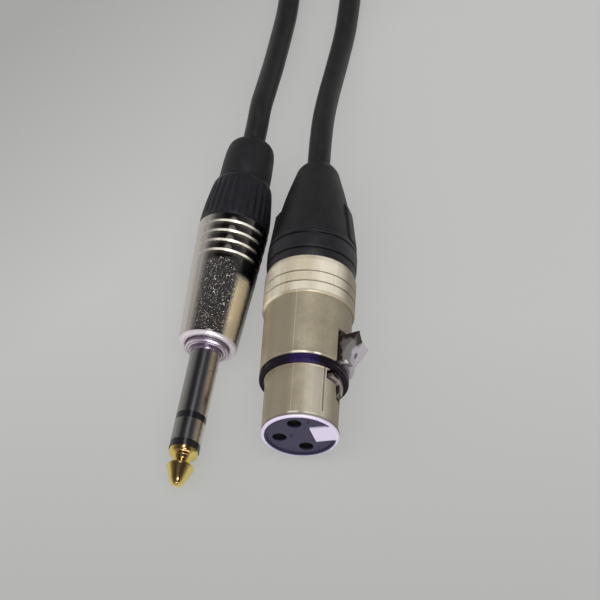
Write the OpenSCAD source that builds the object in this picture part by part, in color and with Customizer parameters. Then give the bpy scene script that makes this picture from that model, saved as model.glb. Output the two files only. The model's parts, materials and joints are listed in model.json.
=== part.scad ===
// Audio lead: a three-pole female cable connector at one end,
// a 6.35 mm stereo jack plug at the other, and the spare lead in a tied hank.
// Millimetres, +Z up, resting on z = 0, origin under the middle of the two connectors.

/* [Socket connector shell] */
// Diameter of the nose that enters the mating connector
nose_d = 16; // [15.6:0.1:16.4]
// Length of the nose, from its face to the black ring
nose_len = 12.5; // [11.5:0.1:14]
// Diameter of the shell's middle part
body_d = 18.5; // [18:0.1:19]
// Length of the shell's middle part
body_len = 14.9; // [14:0.1:18]
// Diameter of the grooved rear flange
flange_d = 19.4; // [19:0.1:20.5]
// Length of the grooved rear flange
flange_len = 9.3; // [8.5:0.1:12]
// Bore of the shell round the contact insert
shell_bore_d = 13.9; // [13.7:0.05:14.1]
// Bore of the shell's rear, where the bushing screws in
rear_bore_d = 16.8; // [16.4:0.1:17]
// Width of the key block inside the nose
key_w = 5; // [4:0.1:5.4]
// Distance of the key block's inner face from the axis
key_inner = 2.7; // [2.6:0.1:3.4]
// Roll of the key and the latch above the +X direction, in degrees
key_roll = 16; // [0:1:30]
// Depth of the shallow recess round the latch hook
nose_recess = 0.4; // [0.2:0.05:0.5]

/* [Sealing ring] */
// Outer diameter of the black ring
ring_d = 18.6; // [18.2:0.1:19.2]
// Width of the black ring
ring_w = 2; // [1.6:0.1:2.4]

/* [Contact insert] */
// Distance of each contact from the axis
contact_circle_r = 4.4; // [4.2:0.05:4.6]
// Diameter of the holes in the insert's face
face_hole_d = 3; // [2.6:0.1:3.2]
// Outer diameter of a contact barrel
contact_d = 3.4; // [3.2:0.1:3.6]
// Bore of a contact, for a 2.38 mm pin
contact_bore_d = 2.4; // [2.38:0.01:2.5]
// Depth of the bore of a contact
contact_bore_len = 12; // [10:0.5:13]
// Length of a contact barrel
contact_len = 14.4; // [14:0.1:16]
// Diameter of the solder cups
cup_d = 3; // [2.8:0.1:3.2]
// Length of the solder cups behind the insert
cup_len = 5; // [4:0.5:6]
// How far the insert's face lies behind the rim
insert_recess = 0.35; // [0.1:0.05:0.8]

/* [Push latch] */
// Width of the thumb tab
tab_w = 7.6; // [6.8:0.1:7.8]
// Height of the tab's rear lip above the axis
tab_top = 12.2; // [11.8:0.1:12.6]
// Width of the lever under the ring
lever_w = 6; // [5:0.1:6.2]
// Diameter of the hinge pin
pivot_d = 1.2; // [1:0.05:1.3]
// Distance from the ring's rear face to the hinge pin
pivot_back = 10.5; // [10.3:0.1:10.9]
// Travel of the latch when it is pressed, in degrees
latch_travel = 4; // [2:0.5:4]

/* [Boot of the socket connector] */
// Length of the bushing's black collar, which shows behind the flange
collar_len = 7.9; // [7:0.1:10]
// Length of the rubber boot behind the collar
boot_len = 21.9; // [20:0.1:28]
// Diameter of the boot at its cable end, before its rounded shoulder
boot_end_d = 9.4; // [8.6:0.1:10.4]
// Width of the two raised wings of the boot
wing_w = 5; // [3:0.2:7]

/* [Jack plug] */
// Diameter of the plug's shaft
shaft_d = 6.35; // [6.3:0.01:6.4]
// Length of the gold tip in front of the first black washer
tip_len = 7.9; // [7.4:0.1:9.4]
// Thickness of the two black washers
washer_t = 1.5; // [1.3:0.1:1.8]
// Length of the ring contact between the washers
ring_contact_len = 4.9; // [4.5:0.1:5.2]
// Length of the sleeve between the second washer and the collar
sleeve_len = 15.3; // [14.8:0.1:16]
// Diameter of the collar at the barrel's mouth
plug_collar_d = 9.2; // [8.6:0.1:9.4]
// Diameter of the barrel at its front
barrel_front_d = 12.4; // [12:0.1:12.8]
// Diameter of the barrel at its rear
barrel_rear_d = 15.3; // [14.8:0.1:15.8]
// Length of the barrel
barrel_len = 29.4; // [28:0.1:32]
// Number of grooves round the rear of the barrel
barrel_grooves = 4; // [2:1:5]
// Length of the fluted black cap
cap_len = 11.9; // [11.5:0.1:13]
// Number of flutes round the cap
cap_flutes = 28; // [16:2:32]
// Length of the smooth sleeve behind the cap
jack_boot_len = 11.7; // [11:0.1:14]
// Diameter of the smooth sleeve at the cap
jack_boot_d = 11.4; // [10.8:0.1:11.8]

/* [Lead] */
// Diameter of the cable
cable_d = 5; // [4.6:0.1:5]
// Loops of the tied hank
coil_loops = 5; // [3:2:7]
// Length of the hank's straight runs
coil_run = 60; // [50:1:80]
// Diameter of the hank's inner folds, at the middle of the cable
coil_fold_d = 30; // [30:1:33]
// Width of the hook-and-loop tie
tie_w = 12; // [8:1:16]
// Thickness of the tie
tie_t = 0.6; // [0.4:0.1:0.9]

/* [Places on the table] */
// Place of the socket connector's axis along X
xlr_x = 7.6; // [6:0.1:10]
// Place of the socket connector's face along Y
xlr_face_y = -32.9; // [-36:0.1:-32]
// Place of the jack's tip along X
jack_x = -16.9; // [-20:0.1:-16]
// Place of the jack's tip along Y
jack_y = -42.7; // [-46:0.1:-42]
// Turn of the jack away from the +Y direction, in degrees
jack_yaw = 6.4; // [4:0.1:8]

/* [Hidden] */

$fn = 96;

// Clearance between round pieces that seat in each other
fit = 0.05;
// Clearance between a block and its slot
slot_fit = 0.1;
// Overshoot of a cut past the face that it opens
over = 0.5;

// Stations of the socket connector, measured back from its face
ring_z = nose_len;
body_z = ring_z + ring_w;
flange_z = body_z + body_len;
shell_end = flange_z + flange_len;
collar_end = shell_end + collar_len;
xlr_len = collar_end + boot_len;
rim_chamfer = 0.2;
ring_wall = 1.1;
ring_seat_r = ring_d / 2 - ring_wall;
insert_reach = 12.5;
insert_step = body_z + insert_reach;
insert_flange_t = 1.5;
insert_end = insert_step + insert_flange_t;
insert_r = shell_bore_d / 2 - fit;
key_len = 6.5;
recess_front = 0.9;
recess_angle = 38;
contact_set_in = 1.3;
contact_front = insert_recess + contact_set_in;
contact_back = contact_front + contact_len;
stem_step = 0.5;
stem_r = contact_d / 2 - stem_step;
cup_floor = 1.2;
cup_wall = 0.45;

// Latch: heights are measured out from the connector's axis
lever_low = 6.1;
lever_top = 7.15;
pivot_h = 6.7;
eye_r = 1.15;
eye_room = 0.3;
pivot_z = body_z + pivot_back;
tab_gap = 0.6;
tab_len = 6.8;
tab_front = body_z + tab_gap;
tab_back = tab_front + tab_len;
tab_low = 9.2;
tab_crown_r = 6.5;
hook_gap = 0.3;
hook_len = 4.1;
hook_front = nose_len - hook_gap - hook_len;
hook_ramp = 1.9;
hook_top = 8.2;
hook_tip_w = 1.6;
hook_neck_w = 3;
hook_step = 2.9;
slot_room = 0.7;
slot_w = tab_w + 1.2;
slot_front = hook_front - slot_room;
slot_step = hook_front + hook_step - 0.4;
hook_room = 0.3;
slot_back = tab_back + slot_room;
eye_slot_w = lever_w + 0.4;
pocket_floor = 4.8;
pin_end = 1.6;
pin_len = lever_w + 2 * pin_end;
leaf_w = 3;
leaf_t = 0.25;
leaf_foot = 3;
leaf_reach = 7.7;

// Strain relief of the socket connector
skirt_wall = 1.05;
skirt_gap = 1.2;
skirt_front = insert_end + skirt_gap;
skirt_r = rear_bore_d / 2 - fit;
chuck_r = skirt_r - skirt_wall;
chuck_wall = 1;
chuck_reach = 5.5;
chuck_end = collar_end + chuck_reach;
chuck_lip = 2;
slit_w = 0.8;
throat_wall = 1.2;
throat_len = 2;
throat_r = cable_d / 2 + chuck_lip + 0.4;
grip_r = cable_d / 2 + fit;
tail_gap = 3.6;
tail_front = shell_end + tail_gap;
wing_len = 10.2;
boot_inset = 0.75;
boot_shoulder = 5.6;
boot_round = 2.2;
core_r = 1.3;

// Stations of the jack, measured back from its tip
washer_1 = tip_len;
ring_1 = washer_1 + washer_t;
washer_2 = ring_1 + ring_contact_len;
sleeve_1 = washer_2 + washer_t;
collar_1 = sleeve_1 + sleeve_len;
mouth_gap = 1.6;
barrel_1 = collar_1 + mouth_gap;
barrel_2 = barrel_1 + barrel_len;
cap_2 = barrel_2 + cap_len;
jack_len = cap_2 + jack_boot_len;
shaft_r = shaft_d / 2;
rod_r = 0.8;
tube_wall = 0.5;
relief_w = 0.3;
relief_depth = 0.25;
plug_body_r = 5.3;
plug_body_len = 5;
plug_body_end = barrel_1 + 1 + plug_body_len;
barrel_mouth_r = plug_collar_d / 2 + fit;
barrel_bore_r = barrel_front_d / 2 - 0.8;
barrel_rear_r = barrel_rear_d / 2 - 1;
groove_pitch = 2.4;
lug_pitch = 2.3;
ring_lug_z = plug_body_end + lug_pitch;
tip_lug_z = ring_lug_z + lug_pitch;
lug_t = 0.4;
lug_w = 2;
lug_h = 4;
tip_lug_bore = rod_r + fit;
tip_tongue = 1.8;
ring_lug_bore = rod_r + 2 * tube_wall + 2 * fit;
ring_tongue = 1.2;
joint_room = 12;
jack_tail_front = plug_body_end + joint_room;
clamp_t = 0.35;
clamp_w = 2.4;
clamp_arm_r = 4.2;
clasp_len = 4;
jack_core_r = 1.2;
inner_sleeve_len = 16;
jack_chuck_inset = 6;
jack_chuck_z = barrel_2 - jack_chuck_inset;
jack_chuck_len = 10;

// Outline of the jack's tip: flat front, widest place, neck and shoulder
tip_flat_r = 0.9;
tip_nose_r = 1.5;
tip_nose_z = 0.9;
tip_wide_r = 2.85;
tip_wide_z = 4.2;
tip_neck_r = 1.85;
tip_neck_back = 2.3;
tip_neck_z = tip_len - tip_neck_back;
tip_base_r = 3;
tip_shoulder = 0.7;
tip_base_z = tip_len - tip_shoulder;

// The barrel lies on the table along its conical side, so its axis dips to the tip
jack_dip = atan((barrel_rear_d - barrel_front_d) / 2 / barrel_len);
jack_apex = barrel_1 - barrel_front_d / 2 / tan(jack_dip);
jack_tip_h = -jack_apex * sin(jack_dip);
xlr_h = flange_d / 2;

// Hank: an inner column of loops that rises, and an outer column that comes down round it
coil_x = -2.6;
coil_front = 137.9;
coil_pitch = 5.6;
tie_gap = 0.1;
coil_low = cable_d / 2 + tie_gap + tie_t;
coil_inner = coil_fold_d / 2;
coil_outer = coil_inner + coil_pitch;
coil_top_turn = 180 * (coil_loops + 1) + 90;
coil_floor_turn = 360 * coil_loops + 180;
coil_leave = 36;
coil_turn = coil_floor_turn + coil_leave;
coil_rise = coil_pitch * coil_top_turn / 360;
fold_step = 18;
coil_sides = 6;
run_sides = 8;
coil_start = coil_point(0, 0);
coil_end = coil_point(coil_turn, 0);
coil_end_way = [sin(coil_leave), -cos(coil_leave), 0];

// Route of the lead from the socket connector to the hank
xlr_exit = [xlr_x, xlr_face_y + xlr_len, xlr_h];
xlr_route = [
    xlr_exit, xlr_exit + [0, cable_d, 0], [7.7, 45.9, 9.4], [7.9, 50.9, 8.7], [8.3, 55.9, 7.7],
    [8.8, 60.9, 6.5], [9.4, 65.9, 5.3], [10, 70.9, 4.2], [10.6, 75.9, 3.3], [11.2, 80.9, 2.7],
    [11.7, 86.9, 2.5], [12.1, 94.9, 2.5], [12.3, 103.9, 2.5], [12.4, 112.9, 2.5], [12.4, 121.9, 2.5],
    coil_start - [0, 1.4 * cable_d, 0.2], coil_start - [0, cable_d / 2, 0], coil_start
];
// Route of the lead from the hank to the jack
jack_exit = jack_point(jack_len);
jack_route = [
    coil_end, coil_end + coil_end_way * cable_d / 2, [-15.6, 120.8, 3], [-13.2, 117.8, 2.8],
    [-10.6, 114.8, 2.6], [-8, 111.9, 2.5], [-5.6, 108.5, 2.5], [-3.8, 104.8, 2.5],
    [-2.7, 100.9, 2.5], [-2.3, 96.9, 2.5], [-2.4, 91.9, 2.5], [-2.7, 86.9, 2.5], [-3.1, 82.9, 2.9],
    [-3.6, 77.9, 3.7], [-4.1, 72.9, 4.7], [-4.6, 67.9, 5.8], [-5.2, 62.9, 7], [-5.8, 57.9, 8.1],
    [-6.3, 53.9, 8.8], jack_point(jack_len + cable_d), jack_exit
];

// ---------------------------------------------------------------- helpers

function unit(v) = v / norm(v);

// A point of the jack's axis, at a station behind its tip
function jack_point(t) =
    [jack_x, jack_y, jack_tip_h]
    + t * [sin(jack_yaw) * cos(jack_dip), cos(jack_yaw) * cos(jack_dip), sin(jack_dip)];

// Direction of a path at one of its points
function heading(path, i) =
    unit(path[min(i + 1, len(path) - 1)] - path[max(i - 1, 0)]);

// One ring of points round a path, square to it
function ring_at(path, i, r, sides, up) =
    let (
        t = heading(path, i),
        side = unit(cross(t, up)),
        lift = cross(side, t)
    )
    [for (k = [0:sides - 1])
        path[i] + r * (cos(360 * k / sides) * side + sin(360 * k / sides) * lift)];

// A tube along a path, closed at both ends, with triangular faces
module tube(path, r, sides, up = [0, 0, 1]) {
    n = len(path);
    points = [for (i = [0:n - 1]) each ring_at(path, i, r, sides, up)];
    walls = [for (i = [0:n - 2]) for (k = [0:sides - 1])
        let (a = i * sides + k, b = i * sides + (k + 1) % sides)
        each [[a, b, b + sides], [a, b + sides, a + sides]]];
    front = [for (k = [1:sides - 2]) [0, k + 1, k]];
    back = [for (k = [1:sides - 2])
        [(n - 1) * sides, (n - 1) * sides + k, (n - 1) * sides + k + 1]];
    polyhedron(points, concat(walls, front, back));
}

// Stands an outline of [distance back, height] across the connector
module across(w) {
    rotate([0, -90, -90])
        translate([0, 0, -w / 2])
            linear_extrude(w) children();
}

// Extrudes an outline of [distance back, place across] outwards from the axis
module seen_from_above(h) {
    rotate([0, -90, 0])
        translate([0, 0, -h])
            linear_extrude(h) children();
}

// A straight round hole or rod from station a to station b
module rod(r, a, b) {
    translate([0, 0, a]) cylinder(r = r, h = b - a);
}

// The same, with its axis at a height above the connector's axis
module rod_at(height, r, a, b) {
    translate([height, 0, 0]) rod(r, a, b);
}

module tube_between(r_out, r_in, a, b) {
    difference() {
        rod(r_out, a, b);
        rod(r_in, a - over, b + over);
    }
}

// Puts the socket connector, drawn along +Z from its face, in its place
module xlr_place() {
    translate([xlr_x, xlr_face_y, xlr_h]) rotate([-90, 0, 0]) children();
}

// Turns what is drawn along +X to the side of the key and the latch
module key_side() {
    rotate([0, 0, -key_roll]) children();
}

module jack_place() {
    translate([jack_x, jack_y, jack_tip_h])
        rotate([0, 0, -jack_yaw])
            rotate([jack_dip, 0, 0])
                rotate([-90, 0, 0]) children();
}

module at_contact(k) {
    rotate([0, 0, 90 * (k + 1)])
        translate([contact_circle_r, 0, 0]) children();
}

// ---------------------------------------------------------------- socket connector

module shell_outline() {
    polygon([
        [shell_bore_d / 2, 0],
        [nose_d / 2 - rim_chamfer, 0],
        [nose_d / 2, rim_chamfer],
        [nose_d / 2, ring_z],
        [ring_seat_r, ring_z],
        [ring_seat_r, body_z],
        [body_d / 2 - 0.3, body_z],
        [body_d / 2, body_z + 0.3],
        [body_d / 2, flange_z],
        [flange_d / 2 - 0.2, flange_z],
        [flange_d / 2, flange_z + 0.25],
        [flange_d / 2, shell_end - 1.2],
        [flange_d / 2 - 0.35, shell_end],
        [rear_bore_d / 2, shell_end],
        [rear_bore_d / 2, insert_step],
        [shell_bore_d / 2, insert_step]
    ]);
}

// The shallow recess of the nose on both sides of the hook
module nose_recess_cut() {
    reach = nose_d;
    difference() {
        translate([0, 0, recess_front])
            linear_extrude(ring_z - recess_front)
                polygon([
                    [0, 0],
                    reach * [cos(recess_angle), -sin(recess_angle)],
                    reach * [1, 0],
                    reach * [cos(recess_angle), sin(recess_angle)]
                ]);
        rotate([0, 0, 180]) rod(nose_d / 2 - nose_recess, recess_front - over, ring_z + over);
    }
}

// Slot for the latch, which is narrow round the nose of the hook
module latch_slot() {
    point_y = hook_tip_w / 2 + hook_room;
    neck_y = hook_neck_w / 2 + hook_room;
    seen_from_above(flange_d)
        polygon([
            [slot_front, -point_y],
            [slot_step, -neck_y],
            [slot_step, -slot_w / 2],
            [slot_back, -slot_w / 2],
            [slot_back, slot_w / 2],
            [slot_step, slot_w / 2],
            [slot_step, neck_y],
            [slot_front, point_y]
        ]);
    translate([lever_low - 3, -eye_slot_w / 2, slot_back - over])
        cube([
            pivot_h + eye_r + eye_room - lever_low + 3,
            eye_slot_w,
            pivot_z + eye_r + eye_room - slot_back + over
        ]);
}

module pivot_hole(r, w) {
    translate([pivot_h, 0, pivot_z]) rotate([90, 0, 0]) cylinder(r = r, h = w, center = true);
}

module xlr_shell() {
    color([0.74, 0.70, 0.60])
    xlr_place() key_side() {
        difference() {
            rotate([0, 0, 180]) rotate_extrude() shell_outline();
            nose_recess_cut();
            latch_slot();
            pivot_hole(pivot_d / 2 + 0.02, pin_len + 0.1);
            for (z = [flange_z + 2.7, flange_z + 5.2])
                translate([0, 0, z]) rotate_extrude()
                    translate([flange_d / 2, 0]) circle(r = 0.22, $fn = 16);
        }
        intersection() {
            translate([key_inner, -key_w / 2, 0])
                cube([shell_bore_d / 2 + 0.4 - key_inner, key_w, key_len]);
            cylinder(r = shell_bore_d / 2 + 0.4, h = key_len);
        }
    }
}

module xlr_insert() {
    color([0.20, 0.18, 0.27])
    xlr_place() key_side()
    difference() {
        union() {
            rod(insert_r, insert_recess, insert_step);
            rod(rear_bore_d / 2 - fit, insert_step, insert_end);
        }
        translate([key_inner - slot_fit, -key_w / 2 - slot_fit, insert_recess - over])
            cube([9, key_w + 2 * slot_fit, key_len + slot_fit - insert_recess + over]);
        translate([pocket_floor, -slot_w / 2 - slot_fit, slot_front - slot_fit])
            cube([9, slot_w + 2 * slot_fit, pivot_z + eye_r + eye_room - slot_front + slot_fit]);
        for (k = [1:3]) at_contact(k - 1) {
            rod(face_hole_d / 2, insert_recess - over, contact_front + over);
            rod(contact_d / 2 + fit, contact_front, contact_back + fit);
            rod(stem_r + fit, contact_back - over, insert_end + over);
        }
    }
}

// One contact: barrel, stem through the insert, and solder cup
module contact(k) {
    color([0.80, 0.72, 0.52])
    xlr_place() key_side() at_contact(k - 1)
    difference() {
        union() {
            rod(contact_d / 2, contact_front, contact_back);
            rod(stem_r, contact_back, insert_end);
            rod(cup_d / 2, insert_end, insert_end + cup_len);
        }
        rod(contact_bore_d / 2, contact_front - over, contact_front + contact_bore_len);
        rod(cup_d / 2 - cup_wall, insert_end + cup_floor, insert_end + cup_len + over);
        translate([0, -cup_d, insert_end + 2])
            cube([cup_d, 2 * cup_d, cup_len]);
    }
}

module xlr_contact_1() { contact(1); }
module xlr_contact_2() { contact(2); }
module xlr_contact_3() { contact(3); }

module xlr_ring() {
    color([0.07, 0.06, 0.10])
    xlr_place()
    difference() {
        rotate_extrude()
            polygon([
                [ring_seat_r + fit, ring_z + fit],
                [ring_d / 2 - 0.35, ring_z + fit],
                [ring_d / 2, ring_z + 0.4],
                [ring_d / 2, ring_z + 0.8],
                [ring_d / 2 - 0.12, ring_z + ring_w / 2],
                [ring_d / 2, ring_z + ring_w - 0.8],
                [ring_d / 2, ring_z + ring_w - 0.4],
                [ring_d / 2 - 0.35, ring_z + ring_w - fit],
                [ring_seat_r + fit, ring_z + ring_w - fit]
            ]);
        // Room for the lever, which passes under the ring
        key_side()
            translate([lever_low - over, -lever_w / 2 - slot_fit, ring_z - over])
                cube([
                    lever_top + slot_fit - lever_low + over,
                    lever_w + 2 * slot_fit,
                    ring_w + 2 * over
                ]);
    }
}

// Side view of the hook, with its ramp for the mating connector
module hook_outline() {
    polygon([
        [hook_front, lever_low],
        [hook_front, lever_top + 0.3],
        [hook_front + hook_ramp, hook_top - 0.6],
        [hook_front + hook_ramp, hook_top],
        [hook_front + hook_len, hook_top],
        [hook_front + hook_len, lever_low]
    ]);
}

// The hook follows the roundness of the nose: a block at the ring with a nose in front of it
module latch_hook() {
    intersection() {
        across(tab_w) hook_outline();
        rod(hook_top, hook_front - 1, hook_front + hook_len + 1);
        seen_from_above(hook_top)
            polygon([
                [hook_front, -hook_tip_w / 2],
                [hook_front + hook_step, -hook_neck_w / 2],
                [hook_front + hook_step, -tab_w / 2],
                [hook_front + hook_len, -tab_w / 2],
                [hook_front + hook_len, tab_w / 2],
                [hook_front + hook_step, tab_w / 2],
                [hook_front + hook_step, hook_neck_w / 2],
                [hook_front, hook_tip_w / 2]
            ]);
    }
}

// Side view of the thumb tab, with its hollow and its raised rear lip
module tab_outline() {
    polygon([
        [tab_front, lever_low],
        [tab_front, tab_low - 0.2],
        [tab_front + 0.3, tab_low],
        [tab_front + 1.6, tab_low + 0.1],
        [tab_front + 3, tab_low + 0.6],
        [tab_front + 4.4, tab_low + 1.4],
        [tab_front + 5.6, tab_low + 2.3],
        [tab_back - 0.4, tab_top],
        [tab_back, tab_top - 0.3],
        [tab_back - 0.5, tab_top - 1.6],
        [tab_back - 1.1, tab_low],
        [tab_back - 1.3, lever_low]
    ]);
}

module xlr_latch() {
    lever_front = hook_front + hook_step;
    color([0.62, 0.61, 0.62])
    xlr_place() key_side()
    difference() {
        union() {
            latch_hook();
            translate([lever_low, -lever_w / 2, lever_front])
                cube([lever_top - lever_low, lever_w, pivot_z - lever_front]);
            translate([pivot_h, 0, pivot_z]) rotate([90, 0, 0])
                cylinder(r = eye_r, h = lever_w, center = true);
            intersection() {
                across(tab_w) tab_outline();
                // The lip is crowned across the tab
                union() {
                    rod_at(tab_top - tab_crown_r, tab_crown_r, tab_front - 1, tab_back + 1);
                    translate([0, -tab_w / 2, tab_front - 1])
                        cube([tab_top - tab_crown_r, tab_w, tab_back - tab_front + 2]);
                }
            }
        }
        pivot_hole(pivot_d / 2 + fit, lever_w + 2);
    }
}

module xlr_latch_pin() {
    color([0.70, 0.70, 0.72])
    xlr_place() key_side()
        pivot_hole(pivot_d / 2, pin_len);
}

// A leaf spring: flat on the insert, bent up against the lever
module xlr_latch_spring() {
    leaf_bend = ring_z + 8;
    color([0.62, 0.63, 0.66])
    xlr_place() key_side()
    across(leaf_w)
        polygon([
            [leaf_bend + leaf_foot, pocket_floor],
            [leaf_bend + leaf_foot, pocket_floor + leaf_t],
            [leaf_bend, pocket_floor + leaf_t],
            [leaf_bend - leaf_reach, lever_low - fit],
            [leaf_bend - leaf_reach - 0.7, lever_low - fit],
            [leaf_bend - 0.1, pocket_floor]
        ]);
}

// The collet that grips the cable inside the bushing
module xlr_chuck() {
    color([0.82, 0.82, 0.80])
    xlr_place()
    difference() {
        rotate_extrude()
            polygon([
                [chuck_r - chuck_wall, insert_end],
                [chuck_r, insert_end],
                [chuck_r, shell_end + 2],
                [cable_d / 2 + chuck_lip, chuck_end],
                [grip_r, chuck_end],
                [grip_r, tail_front + 3],
                [chuck_r - chuck_wall, shell_end + 1]
            ]);
        for (a = [0, 90])
            rotate([0, 0, a])
                translate([-rear_bore_d, -slit_w / 2, shell_end + 3])
                    cube([2 * rear_bore_d, slit_w, chuck_end]);
    }
}

module xlr_bushing() {
    bore = chuck_r + fit;
    nose_r = flange_d / 2;
    color([0.10, 0.10, 0.11])
    xlr_place() rotate_extrude()
        polygon([
            [bore, skirt_front],
            [skirt_r, skirt_front],
            [skirt_r, shell_end],
            [nose_r - 0.35, shell_end],
            [nose_r - 0.15, shell_end + 1.9],
            [nose_r - 0.5, shell_end + 2.1],
            [nose_r - 0.1, shell_end + 2.4],
            [nose_r - 0.1, shell_end + 5.8],
            [nose_r - 0.5, shell_end + 6.1],
            [nose_r - 0.25, shell_end + 6.4],
            [nose_r - 0.45, collar_end],
            [bore + 0.2, collar_end],
            [throat_r + throat_wall, chuck_end + throat_len],
            [throat_r, chuck_end + throat_len],
            [cable_d / 2 + chuck_lip + fit, chuck_end],
            [bore, shell_end + 2]
        ]);
}

module xlr_boot() {
    end_r = boot_end_d / 2;
    base_r = flange_d / 2 - boot_inset;
    hollow_r = chuck_r + 0.4;
    color([0.11, 0.11, 0.12])
    xlr_place() {
        rotate_extrude()
            polygon(concat(
                [
                    [hollow_r, collar_end],
                    [base_r, collar_end],
                    [base_r - 0.4, collar_end + 3],
                    [base_r - 1.4, collar_end + 9],
                    [end_r + 0.9, xlr_len - boot_shoulder],
                    [end_r, xlr_len - boot_round]
                ],
                [for (a = [15:15:90])
                    [end_r - boot_round * (1 - cos(a)), xlr_len - boot_round * (1 - sin(a))]],
                [
                    [grip_r, xlr_len],
                    [grip_r, chuck_end + throat_len + slot_fit],
                    [throat_r + throat_wall + slot_fit, chuck_end + throat_len + slot_fit]
                ]
            ));
        // Two raised wings, in line with the key
        key_side() for (s = [0, 180]) rotate([0, 0, s])
            intersection() {
                across(wing_w)
                    polygon([
                        [collar_end, hollow_r + 0.4],
                        [collar_end, flange_d / 2 - 0.3],
                        [collar_end + wing_len - 1.2, base_r - 0.5],
                        [collar_end + wing_len, base_r - 1],
                        [collar_end + wing_len, base_r - 2.6]
                    ]);
                rod(flange_d / 2 - 0.3, collar_end, xlr_len);
            }
    }
}

module xlr_cable_tail() {
    color([0.09, 0.09, 0.10])
    xlr_place() rod(cable_d / 2, tail_front, xlr_len);
}

// Three insulated cores, fanned out from the cable to the solder cups
module xlr_wires() {
    wire_r = 0.75;
    cup = insert_end + cup_floor;
    for (k = [0:2])
        color([[0.75, 0.12, 0.10], [0.85, 0.85, 0.83], [0.15, 0.15, 0.15]][k])
        xlr_place() key_side()
            rotate([0, 0, 90 * (k + 1)])
                tube([
                    [contact_circle_r, 0, cup], [contact_circle_r, 0, cup + 4],
                    [contact_circle_r - 0.6, 0, cup + 7], [core_r + 0.9, 0, tail_front - 4],
                    [core_r, 0, tail_front - 1.5], [core_r, 0, tail_front]
                ], wire_r, 8, [0, 1, 0]);
}

// ---------------------------------------------------------------- jack plug

module jack_tip() {
    color([0.85, 0.66, 0.26])
    jack_place() rotate_extrude()
        polygon([
            [0, 0],
            [tip_flat_r, 0],
            [tip_nose_r - 0.25, 0.25],
            [tip_nose_r, tip_nose_z],
            [tip_wide_r - 0.05, tip_wide_z - 0.3],
            [tip_wide_r, tip_wide_z],
            [tip_wide_r - 0.15, tip_wide_z + 0.3],
            [tip_neck_r + 0.05, tip_neck_z - 0.5],
            [tip_neck_r, tip_neck_z],
            [tip_neck_r + 0.25, tip_neck_z + 0.5],
            [tip_base_r - 0.2, tip_base_z - 0.5],
            [tip_base_r, tip_base_z],
            [tip_base_r, tip_len],
            [rod_r, tip_len],
            [rod_r, tip_lug_z + 1],
            [0, tip_lug_z + 1]
        ]);
}

module jack_front_insulator() {
    color([0.05, 0.05, 0.06])
    jack_place() rotate_extrude()
        polygon([
            [rod_r + fit, washer_1], [shaft_r, washer_1], [shaft_r, ring_1],
            [rod_r + tube_wall, ring_1], [rod_r + tube_wall, tip_lug_z - 0.6],
            [rod_r + fit, tip_lug_z - 0.6]
        ]);
}

module jack_ring_contact() {
    bore = rod_r + tube_wall + fit;
    color([0.45, 0.43, 0.40])
    jack_place() rotate_extrude()
        polygon([
            [bore, ring_1], [shaft_r, ring_1], [shaft_r, washer_2],
            [bore + tube_wall, washer_2], [bore + tube_wall, ring_lug_z + 0.8],
            [bore, ring_lug_z + 0.8]
        ]);
}

module jack_rear_insulator() {
    bore = rod_r + 2 * tube_wall + 2 * fit;
    color([0.05, 0.05, 0.06])
    jack_place() rotate_extrude()
        polygon([
            [bore, washer_2], [shaft_r, washer_2], [shaft_r, sleeve_1],
            [bore + tube_wall, sleeve_1], [bore + tube_wall, ring_lug_z - 0.6],
            [bore, ring_lug_z - 0.6]
        ]);
}

// Sleeve contact with its stepped collar and the threaded body inside the barrel
module jack_sleeve() {
    bore = rod_r + 3 * tube_wall + 3 * fit;
    collar_r = plug_collar_d / 2;
    color([0.47, 0.45, 0.42])
    jack_place() rotate_extrude()
        polygon([
            [bore, sleeve_1], [shaft_r, sleeve_1], [shaft_r, collar_1 - relief_w],
            [shaft_r - relief_depth, collar_1 - relief_w],
            [shaft_r - relief_depth, collar_1],
            [shaft_r + 0.5, collar_1], [shaft_r + 0.5, collar_1 + 0.5],
            [collar_r - 0.3, collar_1 + 0.7], [collar_r, collar_1 + 1],
            [collar_r, barrel_1 + 1], [plug_body_r, barrel_1 + 1],
            [plug_body_r, plug_body_end], [bore, plug_body_end]
        ]);
}

// Outer face of a lug's upright, measured from the plug's axis
function lug_face(bore, tongue) = bore + 0.2 + tongue;

// A round eyelet with a solder tongue to one side
module lug(bore, z, side, tongue) {
    jack_place() rotate([0, 0, side])
    difference() {
        union() {
            rod(bore + 1, z, z + lug_t);
            translate([bore + 0.2, -lug_w / 2, z]) cube([tongue, lug_w, lug_t]);
            translate([lug_face(bore, tongue) - lug_t, -lug_w / 2, z]) cube([lug_t, lug_w, lug_h]);
        }
        rod(bore, z - over, z + 1);
    }
}

module jack_tip_lug() {
    color([0.80, 0.72, 0.52])
    lug(tip_lug_bore, tip_lug_z - 0.5, 0, tip_tongue);
}

module jack_ring_lug() {
    color([0.80, 0.72, 0.52])
    lug(ring_lug_bore, ring_lug_z - 0.5, 180, ring_tongue);
}

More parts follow.
